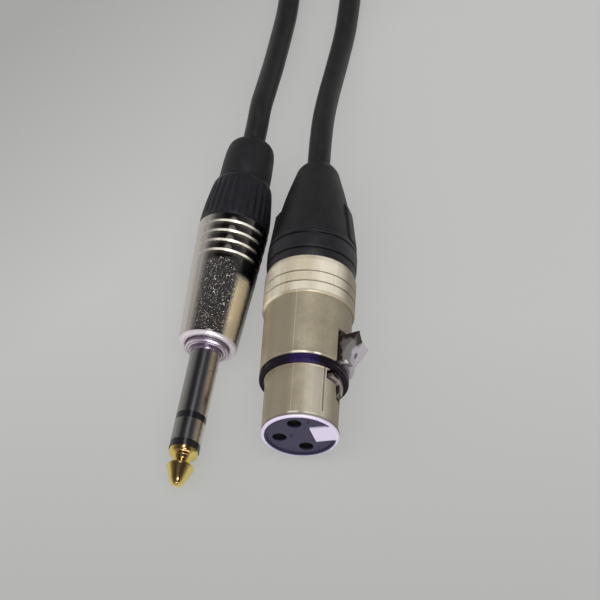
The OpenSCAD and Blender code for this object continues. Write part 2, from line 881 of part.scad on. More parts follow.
// Ground lug that starts on the plug body and clasps the cable's jacket
module jack_ground_clamp() {
    clasp_front = jack_tail_front + 1;
    clasp_back = clasp_front + clasp_len;
    opening = clamp_w + 2 * slot_fit;
    color([0.66, 0.64, 0.60])
    jack_place() rotate([0, 0, 90]) {
        difference() {
            rod(clamp_arm_r + clamp_t, plug_body_end, plug_body_end + clamp_t);
            rod(rod_r + 3 * tube_wall + 4 * fit, plug_body_end - over, plug_body_end + 1);
        }
        translate([clamp_arm_r - 0.1, -clamp_w / 2, plug_body_end])
            cube([clamp_t, clamp_w, clasp_back - plug_body_end]);
        difference() {
            union() {
                rod(grip_r + clamp_t, clasp_front, clasp_back);
                translate([grip_r + 0.2, -clamp_w / 2, clasp_front])
                    cube([clamp_arm_r - grip_r, clamp_w, clasp_len]);
            }
            rod(grip_r, jack_tail_front, clasp_back + over);
            translate([-plug_body_r, -opening / 2, jack_tail_front])
                cube([plug_body_r, opening, clasp_back + over - jack_tail_front]);
        }
    }
}

// Insulating tube between the solder joints and the barrel
module jack_inner_sleeve() {
    color([0.78, 0.76, 0.70])
    jack_place()
        tube_between(plug_body_r, plug_body_r - 0.4, plug_body_end, plug_body_end + inner_sleeve_len);
}

module jack_barrel() {
    front_r = barrel_front_d / 2;
    rear_r = barrel_rear_d / 2;
    taper = (rear_r - front_r) / barrel_len;
    color([0.40, 0.38, 0.38])
    jack_place()
    difference() {
        rotate_extrude()
            polygon([
                [barrel_mouth_r, barrel_1],
                [front_r - 0.9, barrel_1],
                [front_r - 0.35, barrel_1 + 0.15],
                [front_r + taper, barrel_1 + 1],
                [rear_r, barrel_2],
                [barrel_rear_r, barrel_2],
                [barrel_rear_r, barrel_2 - 8],
                [barrel_bore_r, barrel_2 - 11],
                [barrel_bore_r, barrel_1 + 1],
                [barrel_mouth_r, barrel_1 + 1]
            ]);
        for (k = [0:barrel_grooves - 1]) {
            z = barrel_2 - 2.2 - groove_pitch * k;
            translate([0, 0, z]) rotate_extrude()
                translate([rear_r - taper * (barrel_2 - z), 0]) circle(r = 0.45, $fn = 20);
        }
    }
}

module jack_chuck() {
    color([0.82, 0.82, 0.80])
    jack_place()
    difference() {
        rotate_extrude()
            polygon([
                [grip_r, jack_chuck_z],
                [barrel_rear_r - 1.2, jack_chuck_z],
                [barrel_rear_r - 1.2, barrel_2],
                [cable_d / 2 + 1.7, jack_chuck_z + jack_chuck_len],
                [grip_r, jack_chuck_z + jack_chuck_len]
            ]);
        for (a = [0, 90])
            rotate([0, 0, a])
                translate([-barrel_rear_d, -slit_w / 2, barrel_2 - 2])
                    cube([2 * barrel_rear_d, slit_w, jack_chuck_len]);
    }
}

// Fluted rear cap, screwed into the barrel
module jack_cap() {
    rear_r = barrel_rear_d / 2;
    step_r = jack_boot_d / 2;
    bore = barrel_rear_r - 1.15;
    flute_r = 0.5;
    color([0.09, 0.09, 0.11])
    jack_place()
    difference() {
        rotate_extrude()
            polygon([
                [bore, barrel_2 - 5],
                [barrel_rear_r - fit, barrel_2 - 5],
                [barrel_rear_r - fit, barrel_2],
                [rear_r - 0.15, barrel_2],
                [rear_r - 0.05, barrel_2 + 1.5],
                [rear_r - 0.3, barrel_2 + 5],
                [step_r + 1.2, cap_2 - 2.6],
                [step_r + 0.85, cap_2 - 0.6],
                [step_r + 0.5, cap_2],
                [step_r - 1.1, cap_2],
                [step_r - 1.1, barrel_2 + 6],
                [cable_d / 2 + 1.8, jack_chuck_z + jack_chuck_len],
                [bore, barrel_2]
            ]);
        for (k = [0:cap_flutes - 1])
            rotate([0, 0, 360 * k / cap_flutes])
                translate([rear_r + 0.3, 0, barrel_2 + 0.8])
                    rotate([0, -6.5, 0])
                        cylinder(r = flute_r, h = cap_len + 1, $fn = 8);
    }
}

// Smooth sleeve that leaves the cap and holds the cable
module jack_boot() {
    r1 = jack_boot_d / 2 - 0.05;
    r2 = r1 - 0.25;
    edge = 2.8;
    color([0.11, 0.11, 0.12])
    jack_place() rotate_extrude()
        polygon(concat(
            [
                [r1, cap_2],
                [r2, jack_len - edge]
            ],
            [for (a = [15:15:90])
                [r2 - edge * 0.75 * (1 - cos(a)), jack_len - edge + edge * sin(a)]],
            [
                [grip_r, jack_len],
                [grip_r, barrel_2 + 6.1],
                [r1 - 1.15, barrel_2 + 6.1],
                [r1 - 1.15, cap_2]
            ]
        ));
}

module jack_cable_tail() {
    color([0.09, 0.09, 0.10])
    jack_place() rod(cable_d / 2, jack_tail_front, jack_len);
}

// Two insulated cores, soldered to the uprights of the lugs
module jack_wires() {
    wire_r = 0.6;
    for (w = [
        [0, lug_face(tip_lug_bore, tip_tongue), tip_lug_z],
        [180, lug_face(ring_lug_bore, ring_tongue), ring_lug_z]
    ])
        color(w[0] == 0 ? [0.75, 0.12, 0.10] : [0.85, 0.85, 0.83])
        jack_place() rotate([0, 0, w[0]])
            tube([
                [w[1] + wire_r, 0, w[2] + 0.6], [w[1] + wire_r, 0, w[2] + 3.2],
                [w[1] + wire_r - 0.2, 0, w[2] + 4.4], [jack_core_r, 0, jack_tail_front - 1.5],
                [jack_core_r, 0, jack_tail_front]
            ], wire_r, 8, [0, 1, 0]);
}

// ---------------------------------------------------------------- lead

// A point of the hank: a turning angle, and the far end (1) or the near end (0) of its runs
function coil_point(a, far) =
    let (
        cross = max(0, min(180, a - coil_top_turn + 90)),
        r = coil_inner + coil_pitch * (1 - cos(cross)) / 2,
        fall = (coil_floor_turn - min(a, coil_floor_turn)) / (coil_floor_turn - coil_top_turn),
        z = a < coil_top_turn ? coil_low + coil_pitch * a / 360 : coil_low + coil_rise * fall
    )
    [coil_x + r * cos(a), coil_front + far * coil_run + r * sin(a), z];

coil_path = [
    for (a = [0:fold_step:coil_turn])
        for (far = a % 360 == 0 ? [0, 1] : a % 360 == 180 ? [1, 0] : sin(a) > 0 ? [1] : [0])
            coil_point(a, far)
];

// Least distance between the cable's surface and any other turn of it
function coil_gap(path) =
    min([for (i = [0:len(path) - 1]) for (j = [i + 180 / fold_step:1:len(path) - 1])
        norm(path[i] - path[j])]) - cable_d;

function path_length(path) =
    len(path) < 2 ? 0 : [for (i = 0, s = 0; i < len(path); i = i + 1,
        s = i < len(path) ? s + norm(path[i] - path[i - 1]) : s) s][len(path) - 1];

echo(coil_least_gap = coil_gap(coil_path));
echo(lead_length = path_length(xlr_route) + path_length(coil_path) + path_length(jack_route));

module cable_xlr_run() {
    color([0.09, 0.09, 0.10]) tube(xlr_route, cable_d / 2, run_sides);
}

module cable_coil() {
    color([0.09, 0.09, 0.10]) tube(coil_path, cable_d / 2, coil_sides);
}

module cable_jack_run() {
    color([0.09, 0.09, 0.10]) tube(jack_route, cable_d / 2, run_sides);
}

// A strap round the middle of the hank
module cable_tie() {
    half = cable_d / 2 + tie_gap;
    side = coil_outer + half;
    low = coil_low - half;
    high = coil_low + coil_pitch * (coil_loops + 1) / 2 + half;
    color([0.14, 0.14, 0.15])
    translate([coil_x, coil_front + coil_run / 2 + tie_w / 2, 0]) rotate([90, 0, 0])
    linear_extrude(tie_w)
        difference() {
            translate([-side - tie_t, low - tie_t])
                square([2 * (side + tie_t), high - low + 2 * tie_t]);
            translate([-side, low])
                square([2 * side, high - low]);
        }
}

// ---------------------------------------------------------------- output

xlr_shell();
xlr_insert();
xlr_contact_1();
xlr_contact_2();
xlr_contact_3();
xlr_ring();
xlr_latch();
xlr_latch_pin();
xlr_latch_spring();
xlr_chuck();
xlr_bushing();
xlr_boot();
xlr_wires();
xlr_cable_tail();
jack_tip();
jack_front_insulator();
jack_ring_contact();
jack_rear_insulator();
jack_sleeve();
jack_tip_lug();
jack_ring_lug();
jack_ground_clamp();
jack_inner_sleeve();
jack_barrel();
jack_chuck();
jack_cap();
jack_boot();
jack_wires();
jack_cable_tail();
cable_xlr_run();
cable_coil();
cable_jack_run();
cable_tie();
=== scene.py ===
"""Dresses a stereo audio lead: a three-pole socket connector, a 6.35 mm jack and a tied coil.

The shapes are built in millimetres in each connector's own frame, where +Z runs back from its
front, and a Place sets them in the part's frame in metres. A station is a distance along that Z.
"""

import json
import logging
import math
from collections.abc import Iterable, Sequence
from dataclasses import dataclass
from enum import Enum
from typing import Any

import bmesh
import bpy
from mathutils import Matrix, Vector


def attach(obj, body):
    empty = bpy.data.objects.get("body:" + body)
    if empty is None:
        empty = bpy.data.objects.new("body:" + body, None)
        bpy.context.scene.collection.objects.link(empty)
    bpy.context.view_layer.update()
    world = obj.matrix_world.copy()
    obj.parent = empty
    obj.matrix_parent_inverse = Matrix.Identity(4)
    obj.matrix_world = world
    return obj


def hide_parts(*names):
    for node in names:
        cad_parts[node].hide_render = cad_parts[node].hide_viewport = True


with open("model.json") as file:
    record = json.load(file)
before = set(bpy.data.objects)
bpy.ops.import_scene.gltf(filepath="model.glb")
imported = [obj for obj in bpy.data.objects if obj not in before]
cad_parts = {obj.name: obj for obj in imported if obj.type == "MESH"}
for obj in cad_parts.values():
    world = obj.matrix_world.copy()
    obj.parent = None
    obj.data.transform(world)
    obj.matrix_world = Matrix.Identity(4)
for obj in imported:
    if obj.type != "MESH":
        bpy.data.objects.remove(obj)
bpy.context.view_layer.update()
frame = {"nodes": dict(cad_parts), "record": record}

LOG = logging.getLogger("audio_lead")
MM = 0.001
BLACK = (0.0, 0.0, 0.0)
WHITE = (1.0, 1.0, 1.0)

# The angle of the upper side round an axis that isn't rolled
UPWARDS = math.radians(-90.0)

Point = tuple[float, float, float]
Colour = tuple[float, float, float]
# A radius from the axis, a station and the reach of the corner's rounding
Corner = tuple[float, float, float]
# A low and a high value, or a place and the half width of a mark there
Pair = tuple[float, float]
Socket = bpy.types.NodeSocket


class Body(Enum):
    """Bodies of the part that a piece rides on."""

    LEAD = "lead"
    LATCH = "latch"


class Slot(Enum):
    """Material slots of the part's record."""

    SHELL = "shell_nickel"
    INSERT = "insert_violet"
    CONTACT = "contact_gold"
    RING = "ring_black"
    LATCH = "latch_chrome"
    SPRING = "spring_steel"
    CHUCK = "chuck_plastic"
    BUSHING = "bushing_black"
    BOOT = "boot_rubber"
    WIRE = "wire_insulation"
    JACKET = "cable_jacket"
    TIP = "tip_gold"
    WASHER = "washer_black"
    SHAFT = "plug_nickel"
    LUG = "lug_tin"
    INNER_TUBE = "inner_tube"
    BARREL = "barrel_chrome"
    CAP = "cap_black"
    TIE = "tie_fabric"


@dataclass(frozen=True)
class Place:
    """Where a connector lies: the middle of its front, in millimetres, and its turns in degrees.

    Its own +Z runs back from the front, and its own +X points to the side of its key.
    """

    front: Point
    yaw: float = 0.0
    dip: float = 0.0
    roll: float = 0.0

    def turn(self) -> Matrix:
        """Returns the turn from the connector's own frame to the part's frame."""
        return (
            Matrix.Rotation(math.radians(-self.yaw), 4, "Z")
            @ Matrix.Rotation(math.radians(self.dip - 90), 4, "X")
            @ Matrix.Rotation(math.radians(-self.roll), 4, "Z")
        )

    def matrix(self) -> Matrix:
        """Returns the matrix from the connector's millimetres to the part's metres."""
        return Matrix.Translation(Vector(self.front) * MM) @ self.turn() @ Matrix.Scale(MM, 4)


SOCKET_PLACE = Place(front=(7.6, -32.9, 9.7), roll=16.0)
JACK_PLACE = Place(front=(-16.9, -42.7, 4.5817), yaw=6.4, dip=2.8235)
TABLE_PLACE = Place(front=(0.0, 0.0, 0.0), dip=90.0)


# ------------------------------------------------------------------ finishes


class NodeSheet:
    """A material's nodes, with short calls that add them and join them.

    Its x, y and z are the pattern's coordinates in millimetres, and its angle is the angle round
    that z in radians. A share is a value or socket from 0 to 1.
    """

    def __init__(self, name: str, place: Place = TABLE_PLACE) -> None:
        """Starts a material with a Principled shader.

        Args:
            name: The material's name.
            place: The frame in whose millimetres its patterns are laid out.
        """
        self.material = bpy.data.materials.new(name)
        self.material.use_nodes = True
        self.tree = self.material.node_tree
        self.tree.nodes.clear()
        output = self.tree.nodes.new("ShaderNodeOutputMaterial")
        self.shader = self.tree.nodes.new("ShaderNodeBsdfPrincipled")
        self.tree.links.new(self.shader.outputs["BSDF"], output.inputs["Surface"])
        coordinates = self.add("TexCoord").outputs["Object"]
        mapping = self.add("Mapping", {"Vector": coordinates}, vector_type="TEXTURE")
        mapping.inputs["Location"].default_value = Vector(place.front) * MM
        mapping.inputs["Rotation"].default_value = place.turn().to_euler("XYZ")
        mapping.inputs["Scale"].default_value = (MM, MM, MM)
        self.vector = mapping.outputs["Vector"]
        split = self.add("SeparateXYZ", {0: self.vector})
        self.x, self.y, self.z = (split.outputs[name] for name in "XYZ")
        self.angle = self.maths("ARCTAN2", self.y, self.x)

    def add(
        self, kind: str, sockets: dict[str | int, Any] | None = None, **settings: Any
    ) -> bpy.types.Node:
        """Adds a node.

        Args:
            kind: The node's type, without its first word.
            sockets: Input sockets by name or number, each with a value or a socket to join.
            **settings: The node's own properties.

        Returns:
            The new node.
        """
        node = self.tree.nodes.new("ShaderNode" + kind)
        for name, value in settings.items():
            setattr(node, name, value)
        for key, value in (sockets or {}).items():
            self.feed(node, key, value)
        return node

    def feed(self, node: bpy.types.Node, key: str | int, value: Any) -> None:
        """Sets one input of a node to a value, or joins a socket to it.

        Args:
            node: The node.
            key: The input's name or number.
            value: The socket, number, vector or plain colour.
        """
        entry = node.inputs[key]
        if isinstance(value, bpy.types.NodeSocket):
            self.tree.links.new(value, entry)
        elif entry.type == "RGBA":
            entry.default_value = (*value, 1.0)
        else:
            entry.default_value = value

    def noise(self, scale: float, detail: float = 3.0, vector: Socket | None = None) -> Socket:
        """Returns an even noise with so many waves per millimetre."""
        sockets = {"Vector": vector or self.vector, "Scale": scale, "Detail": detail}
        return self.add("TexNoise", sockets).outputs["Fac"]

    def cells(self, scale: float) -> bpy.types.Node:
        """Returns a Voronoi node with so many cells per millimetre."""
        return self.add("TexVoronoi", {"Vector": self.vector, "Scale": scale})

    def maths(self, operation: str, *values: Any) -> Socket:
        """Returns the result of a Math node on its values or sockets."""
        return self.add("Math", dict(enumerate(values)), operation=operation).outputs[0]

    def joined(self, operation: str, values: Iterable[Any]) -> Socket:
        """Joins values or sockets by one operation, two at a time.

        Args:
            operation: The Math node's operation.
            values: The values or sockets, in order.

        Returns:
            The result's socket.
        """
        whole, *others = values
        for value in others:
            whole = self.maths(operation, whole, value)
        return whole

    def times(self, *values: Any) -> Socket:
        """Returns the product of values or sockets."""
        return self.joined("MULTIPLY", values)

    def total(self, *values: Any) -> Socket:
        """Returns the sum of values or sockets."""
        return self.joined("ADD", values)

    def most(self, *values: Any) -> Socket:
        """Returns the largest of values or sockets."""
        return self.joined("MAXIMUM", values)

    def less(self, value: Any, taken: Any) -> Socket:
        """Returns a value from which another is taken."""
        return self.maths("SUBTRACT", value, taken)

    def span(self, value: Any, low: float, high: float, to: Pair) -> Socket:
        """Returns a value mapped from low and high to two others, and held between them."""
        ends = {"From Min": low, "From Max": high, "To Min": to[0], "To Max": to[1]}
        return self.add("MapRange", {"Value": value, **ends}).outputs["Result"]

    def rises(self, value: Any, low: float, high: float, top: float = 1.0) -> Socket:
        """Returns a share that rises from 0 at a low value to its top at a high one."""
        return self.span(value, low, high, (0.0, top))

    def falls(self, value: Any, low: float, high: float, top: float = 1.0) -> Socket:
        """Returns a share that falls from its top at a low value to 0 at a high one."""
        return self.span(value, low, high, (top, 0.0))

    def line(self, value: Any, at: float, half_width: float) -> Socket:
        """Returns 1 where a value is near one place, and 0 elsewhere, with a soft edge."""
        off = self.maths("ABSOLUTE", self.less(value, at))
        return self.falls(off, half_width * 0.5, half_width)

    def within(self, value: Any, low: float, high: float) -> Socket:
        """Returns 1 where a value lies between two others, and 0 elsewhere."""
        above = self.maths("GREATER_THAN", value, low)
        return self.times(above, self.maths("LESS_THAN", value, high))

    def blend(self, share: Any, first: Any, second: Any) -> Socket:
        """Returns a colour between two colours."""
        return self.add("Mix", {0: share, 6: first, 7: second}, data_type="RGBA").outputs[2]

    def layered(self, base: Any, *layers: tuple[Any, Any]) -> Socket:
        """Lays colours over a base, one after another.

        Args:
            base: The lowest colour.
            *layers: Each further colour after the share in which it covers those below.

        Returns:
            The socket of the whole colour.
        """
        for share, colour in layers:
            base = self.blend(share, base, colour)
        return base

    def vectors(self, operation: str, *values: Any) -> Socket:
        """Returns the result of a VectorMath node on its values or sockets."""
        node = self.add("VectorMath", dict(enumerate(values)), operation=operation)
        return node.outputs["Vector"]

    def distance(self, first: Any, second: Any) -> Socket:
        """Returns the length of a vector from its two parts."""
        squares = (self.maths("POWER", part, 2.0) for part in (first, second))
        return self.maths("SQRT", self.total(*squares))

    def relief(self, height: Any, depth: float, below: Socket | None = None) -> Socket:
        """Returns a normal that is bumped by a height.

        Args:
            height: The relief, as a share.
            depth: The depth that a share of 1 stands for.
            below: The normal of a coarser relief that this one adds to.

        Returns:
            The socket of the bumped normal.
        """
        node = self.add("Bump", {"Height": height, "Distance": depth * MM, "Strength": 1.0})
        if below is not None:
            self.feed(node, "Normal", below)
        return node.outputs["Normal"]

    def finish(self, **inputs: Any) -> bpy.types.Material:
        """Sets the shader's inputs and returns the material.

        Args:
            **inputs: The shader's inputs by name, with underscores for spaces.

        Returns:
            The finished material.
        """
        for name, value in inputs.items():
            self.feed(self.shader, name.replace("_", " "), value)
        return self.material


@dataclass(frozen=True)
class SatinNickel:
    """Satin nickel plate on a die-cast shell, with fine grain, pits and a moulding line, and with
    highlights and shade painted into its colour.
    """

    colour: Colour = (0.56, 0.495, 0.365)
    worn: Colour = (0.43, 0.37, 0.265)
    # The next five colours are painted: shade on the sides, highlights, the moulding line's
    # highlight, a highlight patch, and shade in the grooves and the recess
    dull: Colour = (0.36, 0.31, 0.225)
    shine: Colour = (1.0, 0.93, 0.76)
    cream: Colour = (1.0, 0.96, 0.80)
    patch: Colour = (1.0, 0.95, 0.78)
    shade: Colour = (0.10, 0.075, 0.06)
    pit: Colour = (0.16, 0.14, 0.11)
    flange_colour: Colour = (0.86, 0.77, 0.585)
    # The rim's face is painted pale as lit, with painted shade beneath it and along its edge, and
    # painted shade inside the nose
    rim_colour: Colour = (0.76, 0.69, 0.86)
    rim_shade: Colour = (0.40, 0.37, 0.50)
    rim_edge: Colour = (0.16, 0.12, 0.20)
    mouth_colour: Colour = (0.037, 0.034, 0.070)
    metal: float = 0.6
    roughness: Pair = (0.38, 0.52)
    rim: float = 0.3
    bore_r: float = 7.36
    key_half: float = 2.6
    body_from: float = 14.5
    flange_from: float = 29.4
    grooves: Pair = (32.1, 34.6)
    recess_from: float = 2.2
    # Places of painted shade in the recess, of the moulding line, and of painted highlights and
    # shade round the shell
    recess_at: Pair = (math.radians(-41.5), 0.024)
    seam_at: Pair = (math.radians(-89.0), 0.012)
    shine_at: Pair = (math.radians(-46.0), 0.5)
    top_at: Pair = (-1.47, 0.26)
    glow_at: Pair = (-2.35, 0.5)
    left_at: Pair = (-1.95, 0.5)
    under_at: Pair = (1.85, 1.5)
    dull_from: Pair = (-0.70, -0.30)
    ring_glints: tuple[Pair, Pair] = ((-1.396, 0.24), (-0.99, 0.1))
    rim_glints: tuple[Pair, Pair] = ((-1.49, 0.17), (-1.03, 0.2))

    def make(self) -> bpy.types.Material:
        """Makes the material.

        Returns:
            The material.
        """
        sheet = NodeSheet("satin_nickel", SOCKET_PLACE)
        grain = sheet.noise(6.5, 4.0)
        on_flange = sheet.rises(sheet.z, self.flange_from - 0.05, self.flange_from)
        on_rim = sheet.falls(sheet.z, self.rim, self.rim + 0.1)
        # where the rim's face takes painted shade on its underside
        under = sheet.times(sheet.line(sheet.angle, *self.under_at), 0.65)
        seam = sheet.line(sheet.angle, *self.seam_at)
        base = sheet.layered(
            self.plate(sheet, on_flange),
            # the moulding line is real, and its cream colour is a painted highlight along it
            (sheet.times(seam, 0.3), self.cream),
            *self.marks(sheet),
            # the rim's face is painted pale lilac as lit by the front lamp, with painted shade on
            # its underside
            (on_rim, sheet.blend(under, self.rim_colour, self.rim_shade)),
            # painted shade on the wall inside the nose
            (self.mouth(sheet), self.mouth_colour),
        )
        # The plate is less metallic on the rim's painted face and under the flange's painted
        # highlights, so that the plain lamps light them
        side = sheet.times(sheet.line(sheet.angle, *self.shine_at), on_flange)
        top = sheet.times(sheet.line(sheet.angle, *self.top_at), on_flange, 0.4)
        plain = sheet.total(sheet.times(on_rim, 0.3), sheet.times(sheet.most(side, top), 0.35))
        rough = sheet.span(grain, 0.35, 0.65, self.roughness)
        return sheet.finish(
            Base_Color=base,
            Metallic=sheet.less(self.metal, plain),
            Roughness=sheet.less(rough, sheet.times(on_flange, 0.10)),
            Normal=sheet.relief(seam, 0.02, sheet.relief(grain, 0.012)),
        )

    def mouth(self, sheet: NodeSheet) -> Socket:
        """Finds the wall inside the nose, clear of the key block, which takes painted shade.

        Args:
            sheet: The material's nodes.

        Returns:
            The share of the wall's painted shade.
        """
        inside = sheet.maths("LESS_THAN", sheet.distance(sheet.x, sheet.y), self.bore_r)
        beside = sheet.maths("GREATER_THAN", sheet.maths("ABSOLUTE", sheet.y), self.key_half)
        return sheet.times(inside, sheet.most(beside, sheet.maths("LESS_THAN", sheet.x, 0.0)))

    def plate(self, sheet: NodeSheet, on_flange: Socket) -> Socket:
        """Colours the plate: clouded, streaked along the shell and pitted, with painted highlights
        on the nose and flange and painted shade on its sides.

        Args:
            sheet: The material's nodes.
            on_flange: The share of the flange.

        Returns:
            The socket of the colour.
        """
        shine, top, glow, left = (
            sheet.line(sheet.angle, *at)
            for at in (self.shine_at, self.top_at, self.glow_at, self.left_at)
        )
        off_body = sheet.less(1.0, sheet.within(sheet.z, self.body_from, self.flange_from))
        ahead = sheet.within(sheet.z, self.flange_from + 0.4, self.grooves[0])
        edge = sheet.line(sheet.z, self.flange_from + 0.15, 0.4)
        streaks = sheet.noise(1.0, 4.0, sheet.vectors("MULTIPLY", sheet.vector, (1.6, 1.6, 0.12)))
        return sheet.layered(
            self.colour,
            (sheet.rises(sheet.noise(0.28, 5.0), 0.40, 0.68), self.worn),
            (sheet.rises(sheet.noise(1.3, 4.0), 0.5, 0.72, 0.5), self.worn),
            (on_flange, self.flange_colour),
            # painted highlight on the nose and flange, right of the top
            (sheet.times(shine, off_body, sheet.span(on_flange, 0.0, 1.0, (0.6, 1.0))), self.shine),
            # painted shade on the right side and the underside
            (sheet.rises(sheet.angle, *self.dull_from), self.dull),
            # painted highlight patch on the flange's top, ahead of its first groove
            (sheet.times(top, ahead, 0.85), self.patch),
            # darker along the step at the flange's front
            (sheet.times(edge, 0.8), self.worn),
            # painted highlight on the flange, left of its top
            (sheet.times(glow, on_flange), self.shine),
            # painted shade on the nose and body, left of the top
            (sheet.times(left, sheet.less(1.0, on_flange), 0.9), self.dull),
            (sheet.rises(streaks, 0.5, 0.8, 0.35), self.worn),
            (sheet.rises(sheet.noise(1.5, 2.0), 0.70, 0.76, 0.45), self.pit),
        )

    def marks(self, sheet: NodeSheet) -> list[tuple[Socket, Colour]]:
        """Lists the shell's painted highlights and painted shade: glints behind the ring and the
        rim, and shade in the recess, along the rim's edge and in the grooves.

        Args:
            sheet: The material's nodes.

        Returns:
            Each mark's share and colour.
        """
        at_ring, at_rim = (
            sheet.total(*(sheet.line(sheet.angle, *glint) for glint in glints))
            for glints in (self.ring_glints, self.rim_glints)
        )
        recess = sheet.within(sheet.z, self.recess_from, self.body_from)
        behind_ring = sheet.line(sheet.z, self.body_from + 0.2, 0.3)
        edge, behind_rim = (sheet.line(sheet.z, self.rim + gap, 0.3) for gap in (0.35, 0.75))
        marks = [
            # painted highlights behind the ring and behind the rim
            (sheet.times(behind_ring, at_ring, 0.9), self.cream),
            # painted shade along the recess
            (sheet.times(sheet.line(sheet.angle, *self.recess_at), recess, 0.8), self.shade),
            # painted shade along the edge behind the rim
            (sheet.times(edge, 0.55), self.rim_edge),
            (sheet.times(behind_rim, at_rim, 0.9), self.cream),
        ]
        # painted shade in the flange's grooves
        for groove in self.grooves:
            marks.append((sheet.times(sheet.line(sheet.z, groove, 0.24), 0.85), self.shade))
        return marks


@dataclass(frozen=True)
class SparklingChrome:
    """Bright plate over a grainy casting, whose small facets sparkle where they face a lamp.

    A dark reflection is painted along its upper side and its right rear, with a darker spine, a
    khaki reflection on its right, highlights along its grooves' edges and a pale lit face on its
    rim. Its angles are measured from the barrel's upper side.
    """

    colour: Colour = (0.76, 0.70, 0.66)
    # The next four colours are painted: a dark reflection along the top, a khaki reflection on the
    # right, a darker spine and highlights on the grooves' edges
    deep: Colour = (0.23, 0.215, 0.20)
    side: Colour = (0.76, 0.65, 0.44)
    spine: Colour = (0.05, 0.046, 0.043)
    arc: Colour = (1.0, 0.95, 0.84)
    # The rim's face is painted pale as lit by the front lamp
    rim_colour: Colour = (0.80, 0.74, 0.77)
    flakes: float = 7.0
    tilt: float = 0.95
    band: Pair = (0.42, 0.68)
    spine_at: Pair = (0.0, 0.32)
    side_at: Pair = (0.86, 0.34)
    arc_at: Pair = (0.22, 0.95)
    deep_from: Pair = (0.2, 0.4)
    side_end: Pair = (47.4, 48.8)
    flakes_end: Pair = (50.4, 51.4)
    rim: float = 33.3
    grooves: tuple[float, ...] = (52.7, 55.1, 57.5, 59.9)

    def make(self) -> bpy.types.Material:
        """Makes the material.

        Returns:
            The material.
        """
        sheet = NodeSheet("sparkling_chrome", JACK_PLACE)
        turned_by = sheet.less(sheet.angle, UPWARDS)
        off_top = sheet.maths("ABSOLUTE", turned_by)
        in_band = sheet.falls(off_top, *self.band)
        flaked = sheet.falls(sheet.z, *self.flakes_end)
        ahead = sheet.falls(sheet.z, *self.side_end)
        rear = sheet.times(sheet.rises(turned_by, *self.deep_from), sheet.less(1.0, ahead))
        spine = sheet.times(sheet.line(off_top, *self.spine_at), sheet.less(1.0, flaked))
        side = sheet.times(sheet.line(turned_by, *self.side_at), ahead)
        edges = sheet.total(*(sheet.line(sheet.z, groove + 0.42, 0.30) for groove in self.grooves))
        groove_highlights = sheet.times(edges, sheet.line(turned_by, *self.arc_at))
        on_rim = sheet.falls(sheet.z, self.rim, self.rim + 0.2)
        behind_rim = sheet.rises(sheet.z, self.rim + 0.2, self.rim + 0.9)
        # The plate is less metallic and rougher where highlights and the rim's lit face are
        # painted, so that the plain lamps light them
        plain = sheet.most(on_rim, groove_highlights, side)
        return sheet.finish(
            Base_Color=sheet.layered(
                self.colour,
                # painted dark reflection along the top and the right rear
                (sheet.most(in_band, rear), self.deep),
                # painted dark reflection along the spine, behind the sparkles
                (spine, self.spine),
                # painted khaki reflection on the right side, ahead of the grooves
                (side, self.side),
                # painted highlights along the grooves' edges
                (groove_highlights, self.arc),
                # the rim's face is painted pale as lit by the front lamp
                (on_rim, self.rim_colour),
            ),
            Metallic=sheet.span(plain, 0.0, 1.0, (1.0, 0.6)),
            Roughness=sheet.span(plain, 0.0, 1.0, (0.12, 0.30)),
            Normal=self.facets(sheet, sheet.times(in_band, behind_rim, flaked)),
        )

    def facets(self, sheet: NodeSheet, amount: Socket) -> Socket:
        """Tilts each small cell of the surface in its own direction.

        Args:
            sheet: The material's nodes.
            amount: The share of the full tilt.

        Returns:
            The socket of the normal.
        """
        lean = sheet.vectors("SUBTRACT", sheet.cells(self.flakes).outputs["Color"], (0.5, 0.5, 0.5))
        tilt = {0: lean, "Scale": sheet.times(amount, self.tilt)}
        lean = sheet.add("VectorMath", tilt, operation="SCALE").outputs["Vector"]
        normal = sheet.vectors("ADD", sheet.add("NewGeometry").outputs["Normal"], lean)
        return sheet.vectors("NORMALIZE", normal)


@dataclass(frozen=True)
class TurnedMetal:
    """Bright turned metal, with faint rings from the tool and light smudges."""

    name: str
    colour: Colour
    shade: Colour
    roughness: Pair = (0.07, 0.13)
    place: Place = JACK_PLACE
    rings: Point = (0.05, 0.05, 7.0)
    ring_depth: float = 0.0015

    def make(self) -> bpy.types.Material:
        """Makes the material.

        Returns:
            The material.
        """
        sheet = NodeSheet(self.name, self.place)
        smudge = sheet.noise(0.35, 5.0)
        rings = sheet.noise(1.0, 2.0, sheet.vectors("MULTIPLY", sheet.vector, self.rings))
        return sheet.finish(
            Base_Color=self.tone(sheet, smudge),
            Metallic=1.0,
            Roughness=sheet.span(smudge, 0.35, 0.7, self.roughness),
            Normal=sheet.relief(rings, self.ring_depth),
        )

    def tone(self, sheet: NodeSheet, smudge: Socket) -> Socket:
        """Returns the colour, which turns to its shade in the smudges."""
        return sheet.blend(sheet.rises(smudge, 0.42, 0.66), self.colour, self.shade)


